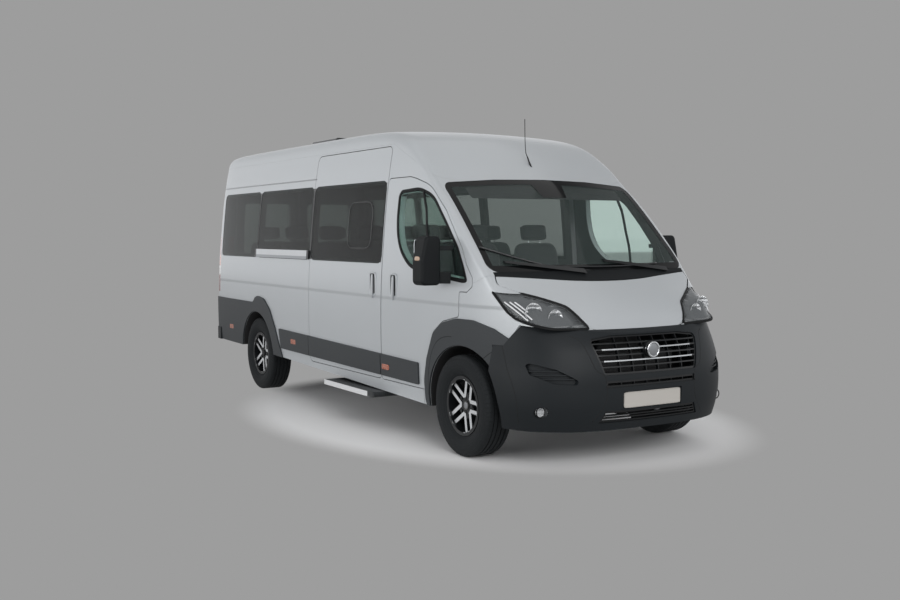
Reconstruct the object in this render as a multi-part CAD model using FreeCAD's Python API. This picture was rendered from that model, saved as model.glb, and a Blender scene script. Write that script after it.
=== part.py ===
import FreeCAD, Part
import math
import os

os.makedirs("parts", exist_ok=True)
Vec = FreeCAD.Vector

# Minibus with long body and high roof. Millimetres, +X forward, +Y left, +Z up.
# The origin lies on the ground, below the middle of the vehicle.

# Overall sizes
LENGTH = 6363.0
BODY_WIDTH = 2050.0
HEIGHT = 2524.0
WHEELBASE = 4035.0
FRONT_OVERHANG = 948.0
FRONT_TRACK = 1810.0
REAR_TRACK = 1790.0

# Wheels, 225/75 R16 on a 6.5 inch rim
TYRE_DIAMETER = 744.0
TYRE_WIDTH = 225.0
RIM_SEAT_DIAMETER = 406.0
RIM_FLANGE_DIAMETER = 440.0
RIM_WIDTH = 178.0
HUB_BOLT_CIRCLE = 160.0
HUB_BOLT_HEAD = 26.0
HUB_BORE = 66.0

# Body shell
WALL = 55.0
GAP = 6.0
SEAM = 0.6
FIT = 0.3
BODY_BOTTOM = 305.0
REAR_LEAN = 0.016
REAR_CORNER_RADIUS = 75.0
REAR_BUMPER_DEPTH = 62.0
ARCH_CLEARANCE = 70.0
OVERRUN = 40.0
GLASS_THICKNESS = 6.0
GLASS_RECESS = 2.0
MOULDING_THICKNESS = 14.0
BUMPER_WALL = 45.0
FLOOR_HEIGHT = 600.0
FLOOR_THICKNESS = 40.0

# Steering
KINGPIN_INSET = 95.0

# Skin of the body: places along it, as shares, and what is measured there
ROOF_LINE_SHARES = [
    (0.00, 0.9905), (0.30, 0.9985), (1.01, 1.0), (1.2565, 1.0), (1.4548, 1.0),
    (1.5787, 0.998), (1.6778, 0.990), (1.7522, 0.9645), (1.8265, 0.9035),
    (1.8761, 0.8459), (1.9046, 0.8142), (1.9628, 0.733), (2.0, 0.6755),
    (2.158, 0.6181), (2.348, 0.5408), (2.4747, 0.5052), (2.633, 0.4655),
    (2.7595, 0.42), (2.8376, 0.3764), (2.9494, 0.3288)]
HALF_WIDTH_SHARES = [
    (0.00, 0.961), (0.083, 0.9756), (0.30, 0.990), (0.663, 0.997), (1.1326, 1.0),
    (1.8017, 1.0), (1.9009, 0.995), (1.9752, 0.980), (2.158, 0.953), (2.348, 0.917),
    (2.527, 0.872), (2.6857, 0.818), (2.8376, 0.75), (2.9494, 0.678)]
CROWN_SHARES = [
    (0.0, 0.011), (1.331, 0.012), (1.6035, 0.011), (1.7274, 0.012),
    (1.8389, 0.022), (1.9046, 0.0349), (2.348, 0.0349), (2.6013, 0.0297),
    (2.8439, 0.0277), (2.9494, 0.0277)]
CORNER_SHARES = [
    (0.0, 0.042), (1.55, 0.042), (1.75, 0.038), (1.87, 0.026), (2.0, 0.022),
    (2.22, 0.024), (2.45, 0.036), (2.95, 0.044)]
TUMBLEHOME_SHARES = [
    (0.0, 0.0585), (0.0998, 0.0293), (0.16, 0.0117), (0.2575, 0.0029), (0.3803, 0.0),
    (0.4596, 0.0029), (0.5507, 0.0156), (0.6498, 0.0351), (0.75, 0.0585), (0.83, 0.082),
    (0.8994, 0.1093), (0.9509, 0.1366), (1.0301, 0.1805)]
CROWN_WIDTH_SHARE = 0.83
STATION_SHARES = [
    0.15, 0.30, 0.66, 1.0, 1.25, 1.4548, 1.5787, 1.6778, 1.7522, 1.79, 1.8265, 1.853,
    1.8761, 1.892, 1.9046, 1.92, 1.94, 1.9628, 1.98, 2.0, 2.08, 2.158, 2.25, 2.348,
    2.41, 2.4747, 2.55, 2.633, 2.70, 2.7595, 2.80, 2.8376, 2.89, 2.9494]
LEAN_FADE_SHARE = 0.30

# Skin of the nose: shares of the height, of the reach ahead and of the half width
NOSE_SHARES = [
    (0.107, 0.93, 0.925), (0.1189, 0.965, 0.94), (0.1585, 0.992, 0.966),
    (0.19, 1.0, 0.974), (0.2179, 1.0, 0.976), (0.245, 1.0, 0.973), (0.2773, 0.987, 0.966),
    (0.3229, 0.947, 0.9366),
    (0.3447, 0.909, 0.9288), (0.3685, 0.856, 0.924), (0.3962, 0.789, 0.917),
    (0.4358, 0.668, 0.907)]
NOSE_ROOT_SHARE = 2.211
NOSE_POWER = 2.9
NOSE_COLUMNS = 25

# Rows of points that steer the skin
SIDE_ROWS = 11
CORNER_ROWS = 5
TOP_ROWS = 6
TAIL_ROWS = 6

# Outlines seen from the side, as shares of the length and of the height
FRONT_DOOR_SHARES = [
    (1.698, 0.1704), (1.698, 0.805), (1.704, 0.822), (1.7893, 0.822), (1.8149, 0.8142),
    (1.8714, 0.7908), (1.9326, 0.7135), (1.9911, 0.6038), (2.03, 0.5553),
    (2.1097, 0.518), (2.11, 0.4925), (2.05, 0.4766), (1.9895, 0.4766), (1.9895, 0.404),
    (1.9385, 0.386), (1.905, 0.349), (1.882, 0.267), (1.8725, 0.2158), (1.8725, 0.1704)]
FRONT_DOOR_RADIUS_SHARES = [
    0.2, 0.3, 0.5, 3, 6, 7, 6, 6, 1.5, 0.3, 0.3, 0.4, 0.3, 0.4, 1.5, 1.5, 1.5, 1, 0.2]
SLIDING_DOOR_SHARES = [(1.3333, 0.1704), (1.3333, 0.928), (1.6964, 0.928), (1.6964, 0.1704)]
ROOF_SPLIT_SHARES = [
    (-0.2, 0.935), (1.698, 0.935), (1.752, 0.9), (1.82, 0.856), (1.8885, 0.805),
    (1.93, 0.75), (1.93, 1.2), (-0.2, 1.2)]
FRONT_WINDOW_SHARES = [
    (1.748, 0.7666), (1.7467, 0.70), (1.7515, 0.64), (1.7705, 0.586), (1.8107, 0.5377),
    (1.905, 0.517), (2.0, 0.502), (2.055, 0.5055), (2.0, 0.5503), (1.98, 0.6054),
    (1.939, 0.6779), (1.8855, 0.7627), (1.83, 0.7872), (1.7584, 0.7817)]
FRONT_WINDOW_RADIUS_SHARES = [0.8, 8, 8, 5, 5, 5, 3, 0.3, 3, 4, 6, 5, 6, 0.8]
DOOR_CORNER_RADIUS = 60.0
WINDOW_CORNER_RADIUS = 70.0

BELT_SHARES = (0.5468, 0.8163)
WINDOW_SPLIT_SHARES = ((0.16, 0.985), (0.992, 1.3305), (1.337, 1.6935))

# Outlines seen from the front, as shares of the half width and of the height
WINDSCREEN_SHARES = [
    (-0.897, 0.5357), (0.897, 0.5357), (0.872, 0.798), (0.44, 0.8095), (0.0, 0.8126),
    (-0.44, 0.8095), (-0.872, 0.798)]
SCREEN_REAR_SHARE = 1.8
GRILLE_SHARES = [(-0.41, 0.26), (0.41, 0.26), (0.48, 0.356), (0.30, 0.3645), (-0.30, 0.3645), (-0.48, 0.356)]
SLOT_SHARES = [(-0.40, 0.226), (0.40, 0.226), (0.39, 0.2445), (-0.39, 0.2445)]
INTAKE_SHARES = [(-0.44, 0.129), (0.44, 0.129), (0.40, 0.1615), (-0.40, 0.1615)]

# Outlines seen from above, as shares of the length and of the half width
BONNET_SHARES = [
    (2.29, 0.869), (2.335, 0.882), (2.482, 0.75), (2.6034, 0.6056), (2.6677, 0.521),
    (2.7553, 0.47), (2.8017, 0.4322), (2.850, 0.30), (2.855, 0.0)]
BONNET_REAR_SHARE = 2.527
BUMPER_TOP_SHARES = [
    (2.35, 0.05), (2.35, 0.3356), (2.462, 0.3356), (2.5833, 0.395), (2.7078, 0.391),
    (2.8365, 0.3784), (2.885, 0.3689), (3.2, 0.3665), (3.2, 0.05)]
LAMP_SHARES = [
    (2.33, 0.482), (2.4188, 0.4501), (2.4778, 0.4291), (2.5517, 0.4116),
    (2.6192, 0.4033), (2.75, 0.39), (3.0, 0.36), (3.0, 0.54), (2.482, 0.54), (2.482, 0.4766)]

REAR_DOOR_SHARES = [(0.0, 0.227), (0.785, 0.227), (0.765, 0.6), (0.735, 0.91), (0.0, 0.91)]
REAR_WINDOW_SHARES = [(0.075, 0.54), (0.705, 0.54), (0.685, 0.795), (0.075, 0.795)]
REAR_LAMP_SHARES = [(0.80, 0.385), (1.2, 0.385), (1.2, 0.63), (0.785, 0.63)]
REAR_LAMP_DEPTH = 95.0
WALL_SHARES = [(-0.3, 0.05), (-0.3, 1.2), (1.698, 1.2), (1.698, 0.2), (1.866, 0.2), (1.866, 0.05)]
FENDER_SHARES = [
    (1.867, 0.05), (1.867, 0.50), (2.10, 0.50), (2.26, 0.525), (2.60, 0.525),
    (3.1, 0.525), (3.1, 0.05)]
PILLAR_SHARES = [
    (1.6982, 0.5005), (2.10, 0.5005), (2.26, 0.5255), (2.60, 0.5255), (2.60, 1.2),
    (1.6982, 1.2)]
COWL_SHARES = [(2.05, -0.87), (2.29, -0.87), (2.527, 0.0), (2.29, 0.87), (2.05, 0.87)]

# Glazing and trim
FLANGE = 34.0
BONNET_GAP = 8.0
BONNET_REAR_GAP = 10.0
BONNET_SKIN = 14.0
BONNET_FRAME_INSET = 34.0
TRIM_GAP = 10.0
MOULDING_SHARES = [(1.1514, 0.2698), (1.8524, 0.2494), (1.8521, 0.1811), (1.1628, 0.1928)]
MOULDING_RADIUS = 14.0
REAR_TRIM_SHARES = [
    (-0.2, 0.10), (-0.2, 0.361), (0.9401, 0.36), (0.9769, 0.3811), (1.0126, 0.3885),
    (1.054, 0.3793), (1.0938, 0.3387), (1.1255, 0.2706), (1.1502, 0.2028), (1.164, 0.165), (1.17, 0.10)]
FRONT_TRIM_SHARES = [
    (1.8762, 0.10), (1.8755, 0.2), (1.886, 0.268), (1.909, 0.347), (1.9398, 0.3827), (1.9854, 0.3993),
    (2.1384, 0.3988), (2.3574, 0.3799), (2.5154, 0.3521), (2.68, 0.30), (2.68, 0.10)]
ARCH_TRIM_RADIUS = 150.0
UNDERSIDE_SHARES = [
    (-0.3, -0.1), (-0.3, 0.1735), (0.93, 0.1685), (1.05, 0.162), (1.9, 0.123), (3.3, 0.123), (3.3, -0.1)]
HANDLE_WIDTH = 74.0
HANDLE_HEIGHT = 150.0
GRIP_WIDTH = 30.0
FRONT_HANDLE_SHARES = (1.7495, 0.474)
SLIDER_HANDLE_SHARES = (1.659, 0.474)
MARKER_SHARES = ((0.44, 0.2385), (1.2426, 0.2295))
MARKER_LENGTH = 120.0
MARKER_HEIGHT = 46.0
RAIL_SHARES = ((0.96, 1.3295), (0.5487, 0.5816))

# Wheel housings
FRONT_HOUSING_Y = 575.0
REAR_HOUSING_Y = 755.0
HOUSING_WALL = 5.0
SHAFT_HOLE_DIAMETER = 180.0

# Inside the shell
PILLAR_DEPTH = 50.0
PILLAR_LENGTH = 130.0
SEAL_WIDTH = 14.0
SEAL_OFFSET = 18.0
BULKHEAD_SHARE = 2.07
BULKHEAD_THICKNESS = 30.0

# Front bumper and grille
PLATE_SEAT_DEPTH = 20.0
PLATE_SEAT_WIDTH = 532.0
PLATE_SEAT_HEIGHT = 122.0
PLATE_HEIGHT_SHARE = 0.1885
GRILLE_RECESS = 8.0
GRILLE_DEPTH = 26.0
GRILLE_FRAME = 14.0
GRILLE_BARS = 5
GRILLE_BAR_HEIGHT = 9.0
GRILLE_RIBS = 6
GRILLE_RIB_WIDTH = 5.0
RIB_PITCH = 113.0
BADGE_RADIUS = 56.0
BADGE_HEIGHT_SHARE = 0.323
BADGE_PROUD = 8.0
INTAKE_BARS = 2
SIDE_INTAKE_SHARES = [(0.868, 0.297), (0.72, 0.279), (0.53, 0.235), (0.74, 0.241), (0.855, 0.264)]
SIDE_INTAKE_DEPTH = 28.0
SLAT_COUNT = 3
SLAT_PITCH = 26.0
SLAT_HEIGHT = 8.0
SLAT_RECESS = 12.0
FOG_SHARES = (0.797, 0.1625)
FOG_RADIUS = 38.0
FOG_RECESS = 10.0
FOG_DEPTH = 24.0

# Rear bumper
REAR_BUMPER_SHARES = (0.17, 0.2235)
REAR_BUMPER_WRAP = 190.0

# Wheels and brakes
TREAD_WIDTH = 178.0
SHOULDER_DROP = 12.0
SIDEWALL_SHARE = 0.45
WHEEL_OFFSET = 60.0
SPOKE_COUNT = 5
SPOKE_WIDTH = 32.0
SPOKE_DEPTH = 30.0
SPOKE_RISE = 5.0
TWIN_OFFSET = 36.0
BARREL_WALL = 9.0
HUB_RADIUS = 98.0
HUB_DROP = 8.0
GROOVE_SHARES = (-0.62, -0.22, 0.22, 0.62)
GROOVE_WIDTH = 9.0
GROOVE_DEPTH = 8.0
BEAD_SEAT_WIDTH = 162.0
BRAKE_DISC_DIAMETER = 300.0
BRAKE_DISC_THICKNESS = 28.0

# Front corner: hub, brake disc and knuckle, which steer together
KNUCKLE_HALF_WIDTH = 60.0
KNUCKLE_HEIGHT = 300.0
HUB_DISC_MARGIN = 16.0
ARM_HALF_WIDTH = 40.0

# Underbody
RAIL_Y = 430.0
RAIL_WIDTH = 80.0
RAIL_HEIGHT = 105.0
RAIL_END_SHARES = (0.12, 2.7)
SUBFRAME_HEIGHT = 90.0
SUBFRAME_LENGTH = 260.0
AXLE_TUBE_DIAMETER = 100.0
DIFF_DIAMETER = 250.0
DIFF_WIDTH = 170.0
SPRING_Y = 600.0
SPRING_WIDTH = 70.0
SPRING_THICKNESS = 30.0
SPRING_LENGTH = 1400.0
ENGINE_LENGTH = 560.0
ENGINE_WIDTH = 520.0
ENGINE_HEIGHT = 540.0
BLOCK_HEIGHT = 330.0
HEAD_INSET = 60.0
GEARBOX_DIAMETER = 300.0
GEARBOX_LENGTH = 120.0
RADIATOR_WIDTH = 740.0
RADIATOR_HEIGHT = 420.0
RADIATOR_DEPTH = 60.0
RADIATOR_BOTTOM = 360.0
TANK_LENGTH = 900.0
TANK_WIDTH = 300.0
TANK_HEIGHT = 220.0
TANK_SHARE = 1.62
PIPE_SHARES = (1.12, 1.30, 1.85)
PIPE_DIAMETER = 60.0
SILENCER_DIAMETER = 156.0
HANGER_WIDTH = 30.0

# Cabin
SEAT_WIDTH = 460.0
SEAT_DEPTH = 480.0
SEAT_THICKNESS = 130.0
BACK_HEIGHT = 620.0
BACK_THICKNESS = 110.0
BACK_LEAN = 12.0
HEADREST_HEIGHT = 160.0
HEADREST_WIDTH = 260.0
SEAT_HEIGHT = 330.0
CAB_SEAT_SHARE = 1.80
CAB_SEAT_Y = (450.0, -170.0, -640.0)
ROW_SHARES = (1.55, 1.34, 1.13, 0.80)
ROW_Y = (640.0, 170.0, -640.0)
STEERING_Y = 450.0

DASH_SHARES = [
    (1.90, 0.36), (1.90, 0.46), (1.925, 0.51), (1.97, 0.518), (2.05, 0.50), (2.07, 0.44), (2.05, 0.36)]

DASH_HALF_WIDTH_SHARE = 0.80
DASH_RADIUS = 40.0
STEERING_SHARE = 1.865
STEERING_HEIGHT_SHARE = 0.49
STEERING_TILT = 60.0
STEERING_RADIUS = 190.0
STEERING_RIM = 15.0
COLUMN_RADIUS = 28.0
COLUMN_LENGTH = 330.0

# Door mirrors
MIRROR_Z_SHARES = (0.494, 0.637)
MIRROR_X_SHARES = (1.926, 1.962)
MIRROR_OUTER = 1245.0
MIRROR_WIDTH = 165.0
MIRROR_RADIUS = 38.0
MIRROR_BASE_SHARES = [
    (1.967, 0.498), (2.06, 0.4955), (2.092, 0.50), (2.085, 0.527), (1.99, 0.6085), (1.967, 0.6085)]
MIRROR_ARM_SHARES = ((0.4985, 0.532), (0.5955, 0.6085))
ARM_ROOT_SHARES = (1.970, 2.03)

# Wipers
WIPER_ARM = 16.0
WIPER_LENGTH = 620.0
WIPER_PIVOT_SHARES = (-0.15, 0.68)

# Entry step
STEP_WIDTH = 300.0
STEP_THICKNESS = 44.0
STEP_SHARES = (1.467, 1.706)
STEP_OUTER = 1120.0
STEP_TOP = 328.0
RUNNER_END_SHARE = 0.88

# On the roof
HATCH_SHARES = (1.076, 1.229)
HATCH_HALF_WIDTH = 520.0
HATCH_HEIGHT = 50.0
HATCH_ROOT = 200.0
ANTENNA_SHARE = 1.866
ANTENNA_LENGTH = 150.0
ANTENNA_RADIUS = 9.0
ANTENNA_LEAN = 32.0

# Limits of small shapes
CORNER_REACH_MIN = 14.0
ANGLE_MIN = 0.01
CORNER_SHARE = 0.49
SKIN_ROUNDS = 8
SKIN_DEGREE = 3

# Places that follow from these
FAR = LENGTH
HUB_SEAT = WHEEL_OFFSET - SPOKE_DEPTH
FRONT_AXLE_X = LENGTH / 2 - FRONT_OVERHANG
REAR_AXLE_X = FRONT_AXLE_X - WHEELBASE
TAIL_X = -LENGTH / 2
NOSE_X = LENGTH / 2
HALF_WIDTH = BODY_WIDTH / 2
AXLE_Z = TYRE_DIAMETER / 2
ARCH_RADIUS = TYRE_DIAMETER / 2 + ARCH_CLEARANCE
BODY_TAIL_X = TAIL_X + REAR_BUMPER_DEPTH - REAR_LEAN * HEIGHT / 2
SIDES = (("left", 1), ("right", -1))


def x_at(share):
    """Place along the body: 0 tail, 1 rear axle, 2 front axle, 3 nose."""
    if share <= 1:
        return TAIL_X + share * (REAR_AXLE_X - TAIL_X)
    if share <= 2:
        return REAR_AXLE_X + (share - 1) * WHEELBASE
    return FRONT_AXLE_X + (share - 2) * FRONT_OVERHANG


def in_plan(shares):
    """Points (x, y) from shares of the length and of the half width."""
    return [(x_at(s), HALF_WIDTH * t) for s, t in shares]


def in_side(shares):
    """Points (x, z) from shares of the length and of the height."""
    return [(x_at(s), HEIGHT * t) for s, t in shares]


def in_front(shares):
    """Points (y, z) from shares of the half width and of the height."""
    return [(HALF_WIDTH * s, HEIGHT * t) for s, t in shares]


def smooth(table, at):
    """Value at a place, on a smooth curve with no overshoot through the table."""
    if at <= table[0][0]:
        return table[0][1]
    if at >= table[-1][0]:
        return table[-1][1]
    steps = [b[0] - a[0] for a, b in zip(table, table[1:])]
    slopes = [(b[1] - a[1]) / (b[0] - a[0]) for a, b in zip(table, table[1:])]
    tangents = [slopes[0]]
    for i in range(1, len(slopes)):
        before, after = slopes[i - 1], slopes[i]
        if before * after <= 0:
            tangents.append(0)
            continue
        weight = 2 * steps[i] + steps[i - 1]
        other = steps[i] + 2 * steps[i - 1]
        tangents.append((weight + other) / (weight / before + other / after))
    tangents.append(slopes[-1])
    k = max(i for i in range(len(steps)) if table[i][0] <= at)
    t = (at - table[k][0]) / steps[k]
    start = (1 + 2 * t) * (1 - t) ** 2 * table[k][1]
    end = t * t * (3 - 2 * t) * table[k + 1][1]
    leave = t * (1 - t) ** 2 * steps[k] * tangents[k]
    arrive = t * t * (t - 1) * steps[k] * tangents[k + 1]
    return start + end + leave + arrive


ROOF_LINE = in_side(ROOF_LINE_SHARES)
WIDTH_LINE = in_plan(HALF_WIDTH_SHARES)
CROWN_LINE = in_side(CROWN_SHARES)
CORNER_LINE = in_side(CORNER_SHARES)
TUMBLEHOME = [(HEIGHT * s, HALF_WIDTH * t) for s, t in TUMBLEHOME_SHARES]


def skin_section(x, inset, sink):
    """Points round the body at one station, from bottom right over the roof."""
    step = x_at(1.01) - x_at(1)
    slope = (smooth(ROOF_LINE, x + step) - smooth(ROOF_LINE, x - step)) / (2 * step)
    top = smooth(ROOF_LINE, x) - inset * math.sqrt(1 + slope * slope) - sink
    half = smooth(WIDTH_LINE, x) - inset - sink
    crown = smooth(CROWN_LINE, x)
    reach = max(smooth(CORNER_LINE, x) - inset, CORNER_REACH_MIN)
    edge = top
    for _ in range(SKIN_ROUNDS):
        side = half - smooth(TUMBLEHOME, edge)
        edge = top - crown * (side / (HALF_WIDTH * CROWN_WIDTH_SHARE)) ** 2
    low = edge - reach
    bottom = BODY_BOTTOM - OVERRUN
    points = []
    for i in range(SIDE_ROWS):
        z = bottom + (low - bottom) * i / (SIDE_ROWS - 1)
        points.append((half - smooth(TUMBLEHOME, z), z))
    start = Vec(points[-1][0], low, 0)
    turn = Vec(side, edge, 0)
    inner = side - reach
    end = Vec(inner, top - crown * (inner / (HALF_WIDTH * CROWN_WIDTH_SHARE)) ** 2, 0)
    for i in range(1, CORNER_ROWS):
        t = i / CORNER_ROWS
        at = start * (1 - t) ** 2 + turn * (2 * t * (1 - t)) + end * t ** 2
        points.append((at.x, at.y))
    for i in range(TOP_ROWS):
        y = inner * (1 - i / (TOP_ROWS - 1))
        points.append((y, top - crown * (y / (HALF_WIDTH * CROWN_WIDTH_SHARE)) ** 2))
    right = [(-y, z) for y, z in points]
    left = [(y, z) for y, z in reversed(points[:-1])]
    return right + left


def leaned(x, z):
    """Place of a point of the tail, which leans forward towards the roof."""
    fade = x_at(LEAN_FADE_SHARE) - BODY_TAIL_X
    t = min(max((x - BODY_TAIL_X) / fade, 0), 1)
    weight = 1 - t * t * (3 - 2 * t)
    return x + REAR_LEAN * z * weight


def clamped(count):
    """Knots and their multiplicities of a smooth curve steered by so many points."""
    knots = list(range(count - SKIN_DEGREE + 1))
    mults = [SKIN_DEGREE + 1] + [1] * (len(knots) - 2) + [SKIN_DEGREE + 1]
    return knots, mults


def closed_solid(grid):
    """Solid under a smooth surface steered by a grid; its borders lie in planes."""
    surface = Part.BSplineSurface()
    u_knots, u_mults = clamped(len(grid))
    v_knots, v_mults = clamped(len(grid[0]))
    surface.buildFromPolesMultsKnots(grid, u_mults, v_mults, u_knots, v_knots,
                                     False, False, SKIN_DEGREE, SKIN_DEGREE)
    u0, u1, v0, v1 = surface.bounds()
    first = surface.uIso(u0).toShape()
    last = surface.uIso(u1).toShape()
    low = surface.vIso(v0).toShape()
    high = surface.vIso(v1).toShape()
    near = Part.makeLine(grid[0][0], grid[0][-1])
    far = Part.makeLine(grid[-1][0], grid[-1][-1])
    faces = [surface.toShape()]
    for edges in ((first, near), (last, far), (low, far, high, near)):
        wire = Part.Wire(Part.__sortEdges__(list(edges)))
        faces.append(Part.Face(wire))
    shell = Part.makeShell(faces)
    shell.sewShape()
    solid = Part.Solid(shell)
    if solid.Volume < 0:
        solid.reverse()
    return solid


def body_solid(inset):
    """Solid of the body's skin moved inwards; it runs on past the sill and the nose."""
    radius = max(REAR_CORNER_RADIUS - inset, CORNER_REACH_MIN)
    tail = BODY_TAIL_X + inset
    stations = []
    for i in range(TAIL_ROWS):
        angle = math.radians(90) * i / (TAIL_ROWS - 1)
        stations.append((tail + radius * (1 - math.cos(angle)), radius * (1 - math.sin(angle))))
    stations += [(x_at(share), 0) for share in STATION_SHARES]
    stations.append((BODY_FRONT_X + OVERRUN, 0))
    grid = []
    for x, sink in stations:
        section = skin_section(x, inset, sink)
        grid.append([Vec(leaned(x, z), y, z) for y, z in section])
    return closed_solid(grid)


BODY_FRONT_X = x_at(STATION_SHARES[-1])
NOSE_ROOT = x_at(NOSE_ROOT_SHARE)
NOSE_REACH = NOSE_X - NOSE_ROOT


def nose_solid(inset):
    """Solid of the nose's skin: a rounded box in plan that changes with height."""
    grid = []
    last = len(NOSE_SHARES) - 1
    for index, (height, ahead, wide) in enumerate(NOSE_SHARES):
        z = HEIGHT * height + OVERRUN * ((index == last) - (index == 0))
        root = NOSE_ROOT - OVERRUN
        reach = NOSE_REACH * ahead - inset + OVERRUN
        half = HALF_WIDTH * wide - inset
        row = []
        for i in range(NOSE_COLUMNS):
            angle = math.pi * (i / (NOSE_COLUMNS - 1) - 1 / 2)
            side = math.copysign(abs(math.sin(angle)) ** (2 / NOSE_POWER), angle)
            front = max(math.cos(angle), 0) ** (2 / NOSE_POWER)
            if i in (0, NOSE_COLUMNS - 1):
                front = 0
            row.append(Vec(root + reach * front, half * side, z))
        grid.append(row)
    return closed_solid(grid)


def rounded(points, radii):
    """Closed wire in XY through corner points, each corner rounded to its radius."""
    if not isinstance(radii, (list, tuple)):
        radii = [radii] * len(points)
    corners = [Vec(a, b, 0) for a, b in points]
    edges = []
    ends = []
    for i, corner in enumerate(corners):
        before = (corners[i - 1] - corner)
        after = (corners[(i + 1) % len(corners)] - corner)
        turn = before.getAngle(after)
        if radii[i] == 0 or abs(math.pi - turn) < ANGLE_MIN:
            ends.append((corner, corner))
            continue
        back = radii[i] / math.tan(turn / 2)
        back = min(back, before.Length * CORNER_SHARE, after.Length * CORNER_SHARE)
        radius = back * math.tan(turn / 2)
        one = corner + before.normalize() * back
        two = corner + after.normalize() * back
        middle = (one + two) * (1 / 2) - corner
        away = math.hypot(back, radius) - radius
        mid = corner + middle.normalize() * away
        edges.append((i, Part.Arc(one, mid, two).toShape()))
        ends.append((one, two))
    ordered = []
    arcs = dict(edges)
    for i in range(len(corners)):
        if i in arcs:
            ordered.append(arcs[i])
        start = ends[i][1]
        end = ends[(i + 1) % len(corners)][0]
        if start.distanceToPoint(end) > FIT / 10:
            ordered.append(Part.makeLine(start, end))
    return Part.Wire(ordered)


def grown(wire, by):
    """The wire moved outwards by a distance, inwards if it is negative."""
    return wire.makeOffset2D(by) if by else wire


def across(wire, y0, y1):
    """Prism of a side view outline (x, z), from y0 to y1."""
    face = Part.Face(wire)
    face.rotate(Vec(0, 0, 0), Vec(1, 0, 0), 90)
    face.translate(Vec(0, y0, 0))
    return face.extrude(Vec(0, y1 - y0, 0))


def upright(wire, z0, z1):
    """Prism of a plan outline (x, y), from z0 to z1."""
    face = Part.Face(wire)
    face.translate(Vec(0, 0, z0))
    return face.extrude(Vec(0, 0, z1 - z0))


def lengthwise(wire, x0, x1):
    """Prism of a front view outline (y, z), from x0 to x1."""
    face = Part.Face(wire)
    face.rotate(Vec(0, 0, 0), Vec(1, 1, 1), 120)
    face.translate(Vec(x0, 0, 0))
    return face.extrude(Vec(x1 - x0, 0, 0))


def box(x0, x1, y0, y1, z0, z1):
    """Box between two corners."""
    return Part.makeBox(x1 - x0, y1 - y0, z1 - z0, Vec(x0, y0, z0))


def mirrored(shape):
    """The shape on the other side of the vehicle."""
    return shape.mirror(Vec(0, 0, 0), Vec(0, 1, 0))


def biggest(shape):
    """The largest solid, where a cut leaves slivers."""
    return max(shape.Solids, key=lambda solid: solid.Volume)


def save(name, *shapes):
    """Writes one part: one solid, or several that don't touch."""
    solids = [solid for shape in shapes for solid in shape.Solids]
    Part.makeCompound(solids).exportStep("parts/" + name + ".step")


UNDERSIDE = across(rounded(in_side(UNDERSIDE_SHARES), 0), -FAR, FAR)
BODY_LIMITS = box(-FAR, BODY_FRONT_X, -FAR, FAR, BODY_BOTTOM, FAR).cut(UNDERSIDE)
NOSE_LIMITS = box(NOSE_ROOT, FAR, -FAR, FAR, HEIGHT * NOSE_SHARES[0][0], HEIGHT * NOSE_SHARES[-1][0])
OUTER = body_solid(0).common(BODY_LIMITS)
INNER = body_solid(WALL)
CABIN = body_solid(WALL + FIT)
CLEAR_CABIN = body_solid(WALL + GAP)
PILLAR_INNER = body_solid(WALL + GAP + PILLAR_DEPTH)
GLASS_OUTER = body_solid(GLASS_RECESS)
GLASS_INNER = body_solid(GLASS_RECESS + GLASS_THICKNESS)
GLASS_SEAT = body_solid(GLASS_RECESS + GLASS_THICKNESS + FIT)
PANEL_INNER = body_solid(BONNET_SKIN)
TRIM_OUTER = body_solid(-MOULDING_THICKNESS)
TRIM_INNER = body_solid(-FIT)
NOSE_OUTER = nose_solid(0).common(NOSE_LIMITS)
NOSE_INNER = nose_solid(BUMPER_WALL)

SHELL = OUTER.cut(INNER)
GLASS_LAYER = GLASS_OUTER.cut(GLASS_INNER)
TRIM_LAYER = TRIM_OUTER.cut(TRIM_INNER).common(BODY_LIMITS)


def half_space(side, off=0):
    """Everything on one side of the vehicle's middle."""
    y0, y1 = sorted((side * off, side * FAR))
    return box(-FAR, FAR, y0, y1, -FAR, FAR)


def side_prism(wire, side=1, inner=HALF_WIDTH / 3):
    """Prism of a side outline through one side of the body only."""
    y0, y1 = sorted((side * inner, side * FAR))
    return across(wire, y0, y1)


def rear_prism(wire, depth=WALL + OVERRUN):
    """Prism of a rear view outline through the tail of the body."""
    return lengthwise(wire, TAIL_X - OVERRUN, BODY_TAIL_X + REAR_LEAN * HEIGHT + depth)


FRONT_DOOR = rounded(in_side(FRONT_DOOR_SHARES),
                     [DOOR_CORNER_RADIUS * s for s in FRONT_DOOR_RADIUS_SHARES])
SLIDING_DOOR = rounded(in_side(SLIDING_DOOR_SHARES), DOOR_CORNER_RADIUS)
FRONT_WINDOW = rounded(in_side(FRONT_WINDOW_SHARES),
                       [WINDOW_CORNER_RADIUS * share for share in FRONT_WINDOW_RADIUS_SHARES])
WINDSCREEN = rounded(in_front(WINDSCREEN_SHARES), WINDOW_CORNER_RADIUS)
ROOF_SPLIT = rounded(in_side(ROOF_SPLIT_SHARES), 0)
BONNET_LEFT = in_plan(BONNET_SHARES)
BONNET_RIGHT = [(x, -y) for x, y in reversed(BONNET_LEFT[:-1])]
BONNET = rounded(BONNET_LEFT + BONNET_RIGHT + [(x_at(BONNET_REAR_SHARE), 0)],
                 [0] + [DOOR_CORNER_RADIUS] * (2 * len(BONNET_LEFT) - 3) + [0, FAR])
COWL = rounded(in_plan(COWL_SHARES), [0, 0, FAR, 0, 0])
BUMPER_TOP = rounded(in_side(BUMPER_TOP_SHARES), 0)
LAMP = rounded(in_side(LAMP_SHARES), 0)
GRILLE = rounded(in_front(GRILLE_SHARES), DOOR_CORNER_RADIUS / 2)
SLOT = rounded(in_front(SLOT_SHARES), 0)
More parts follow.
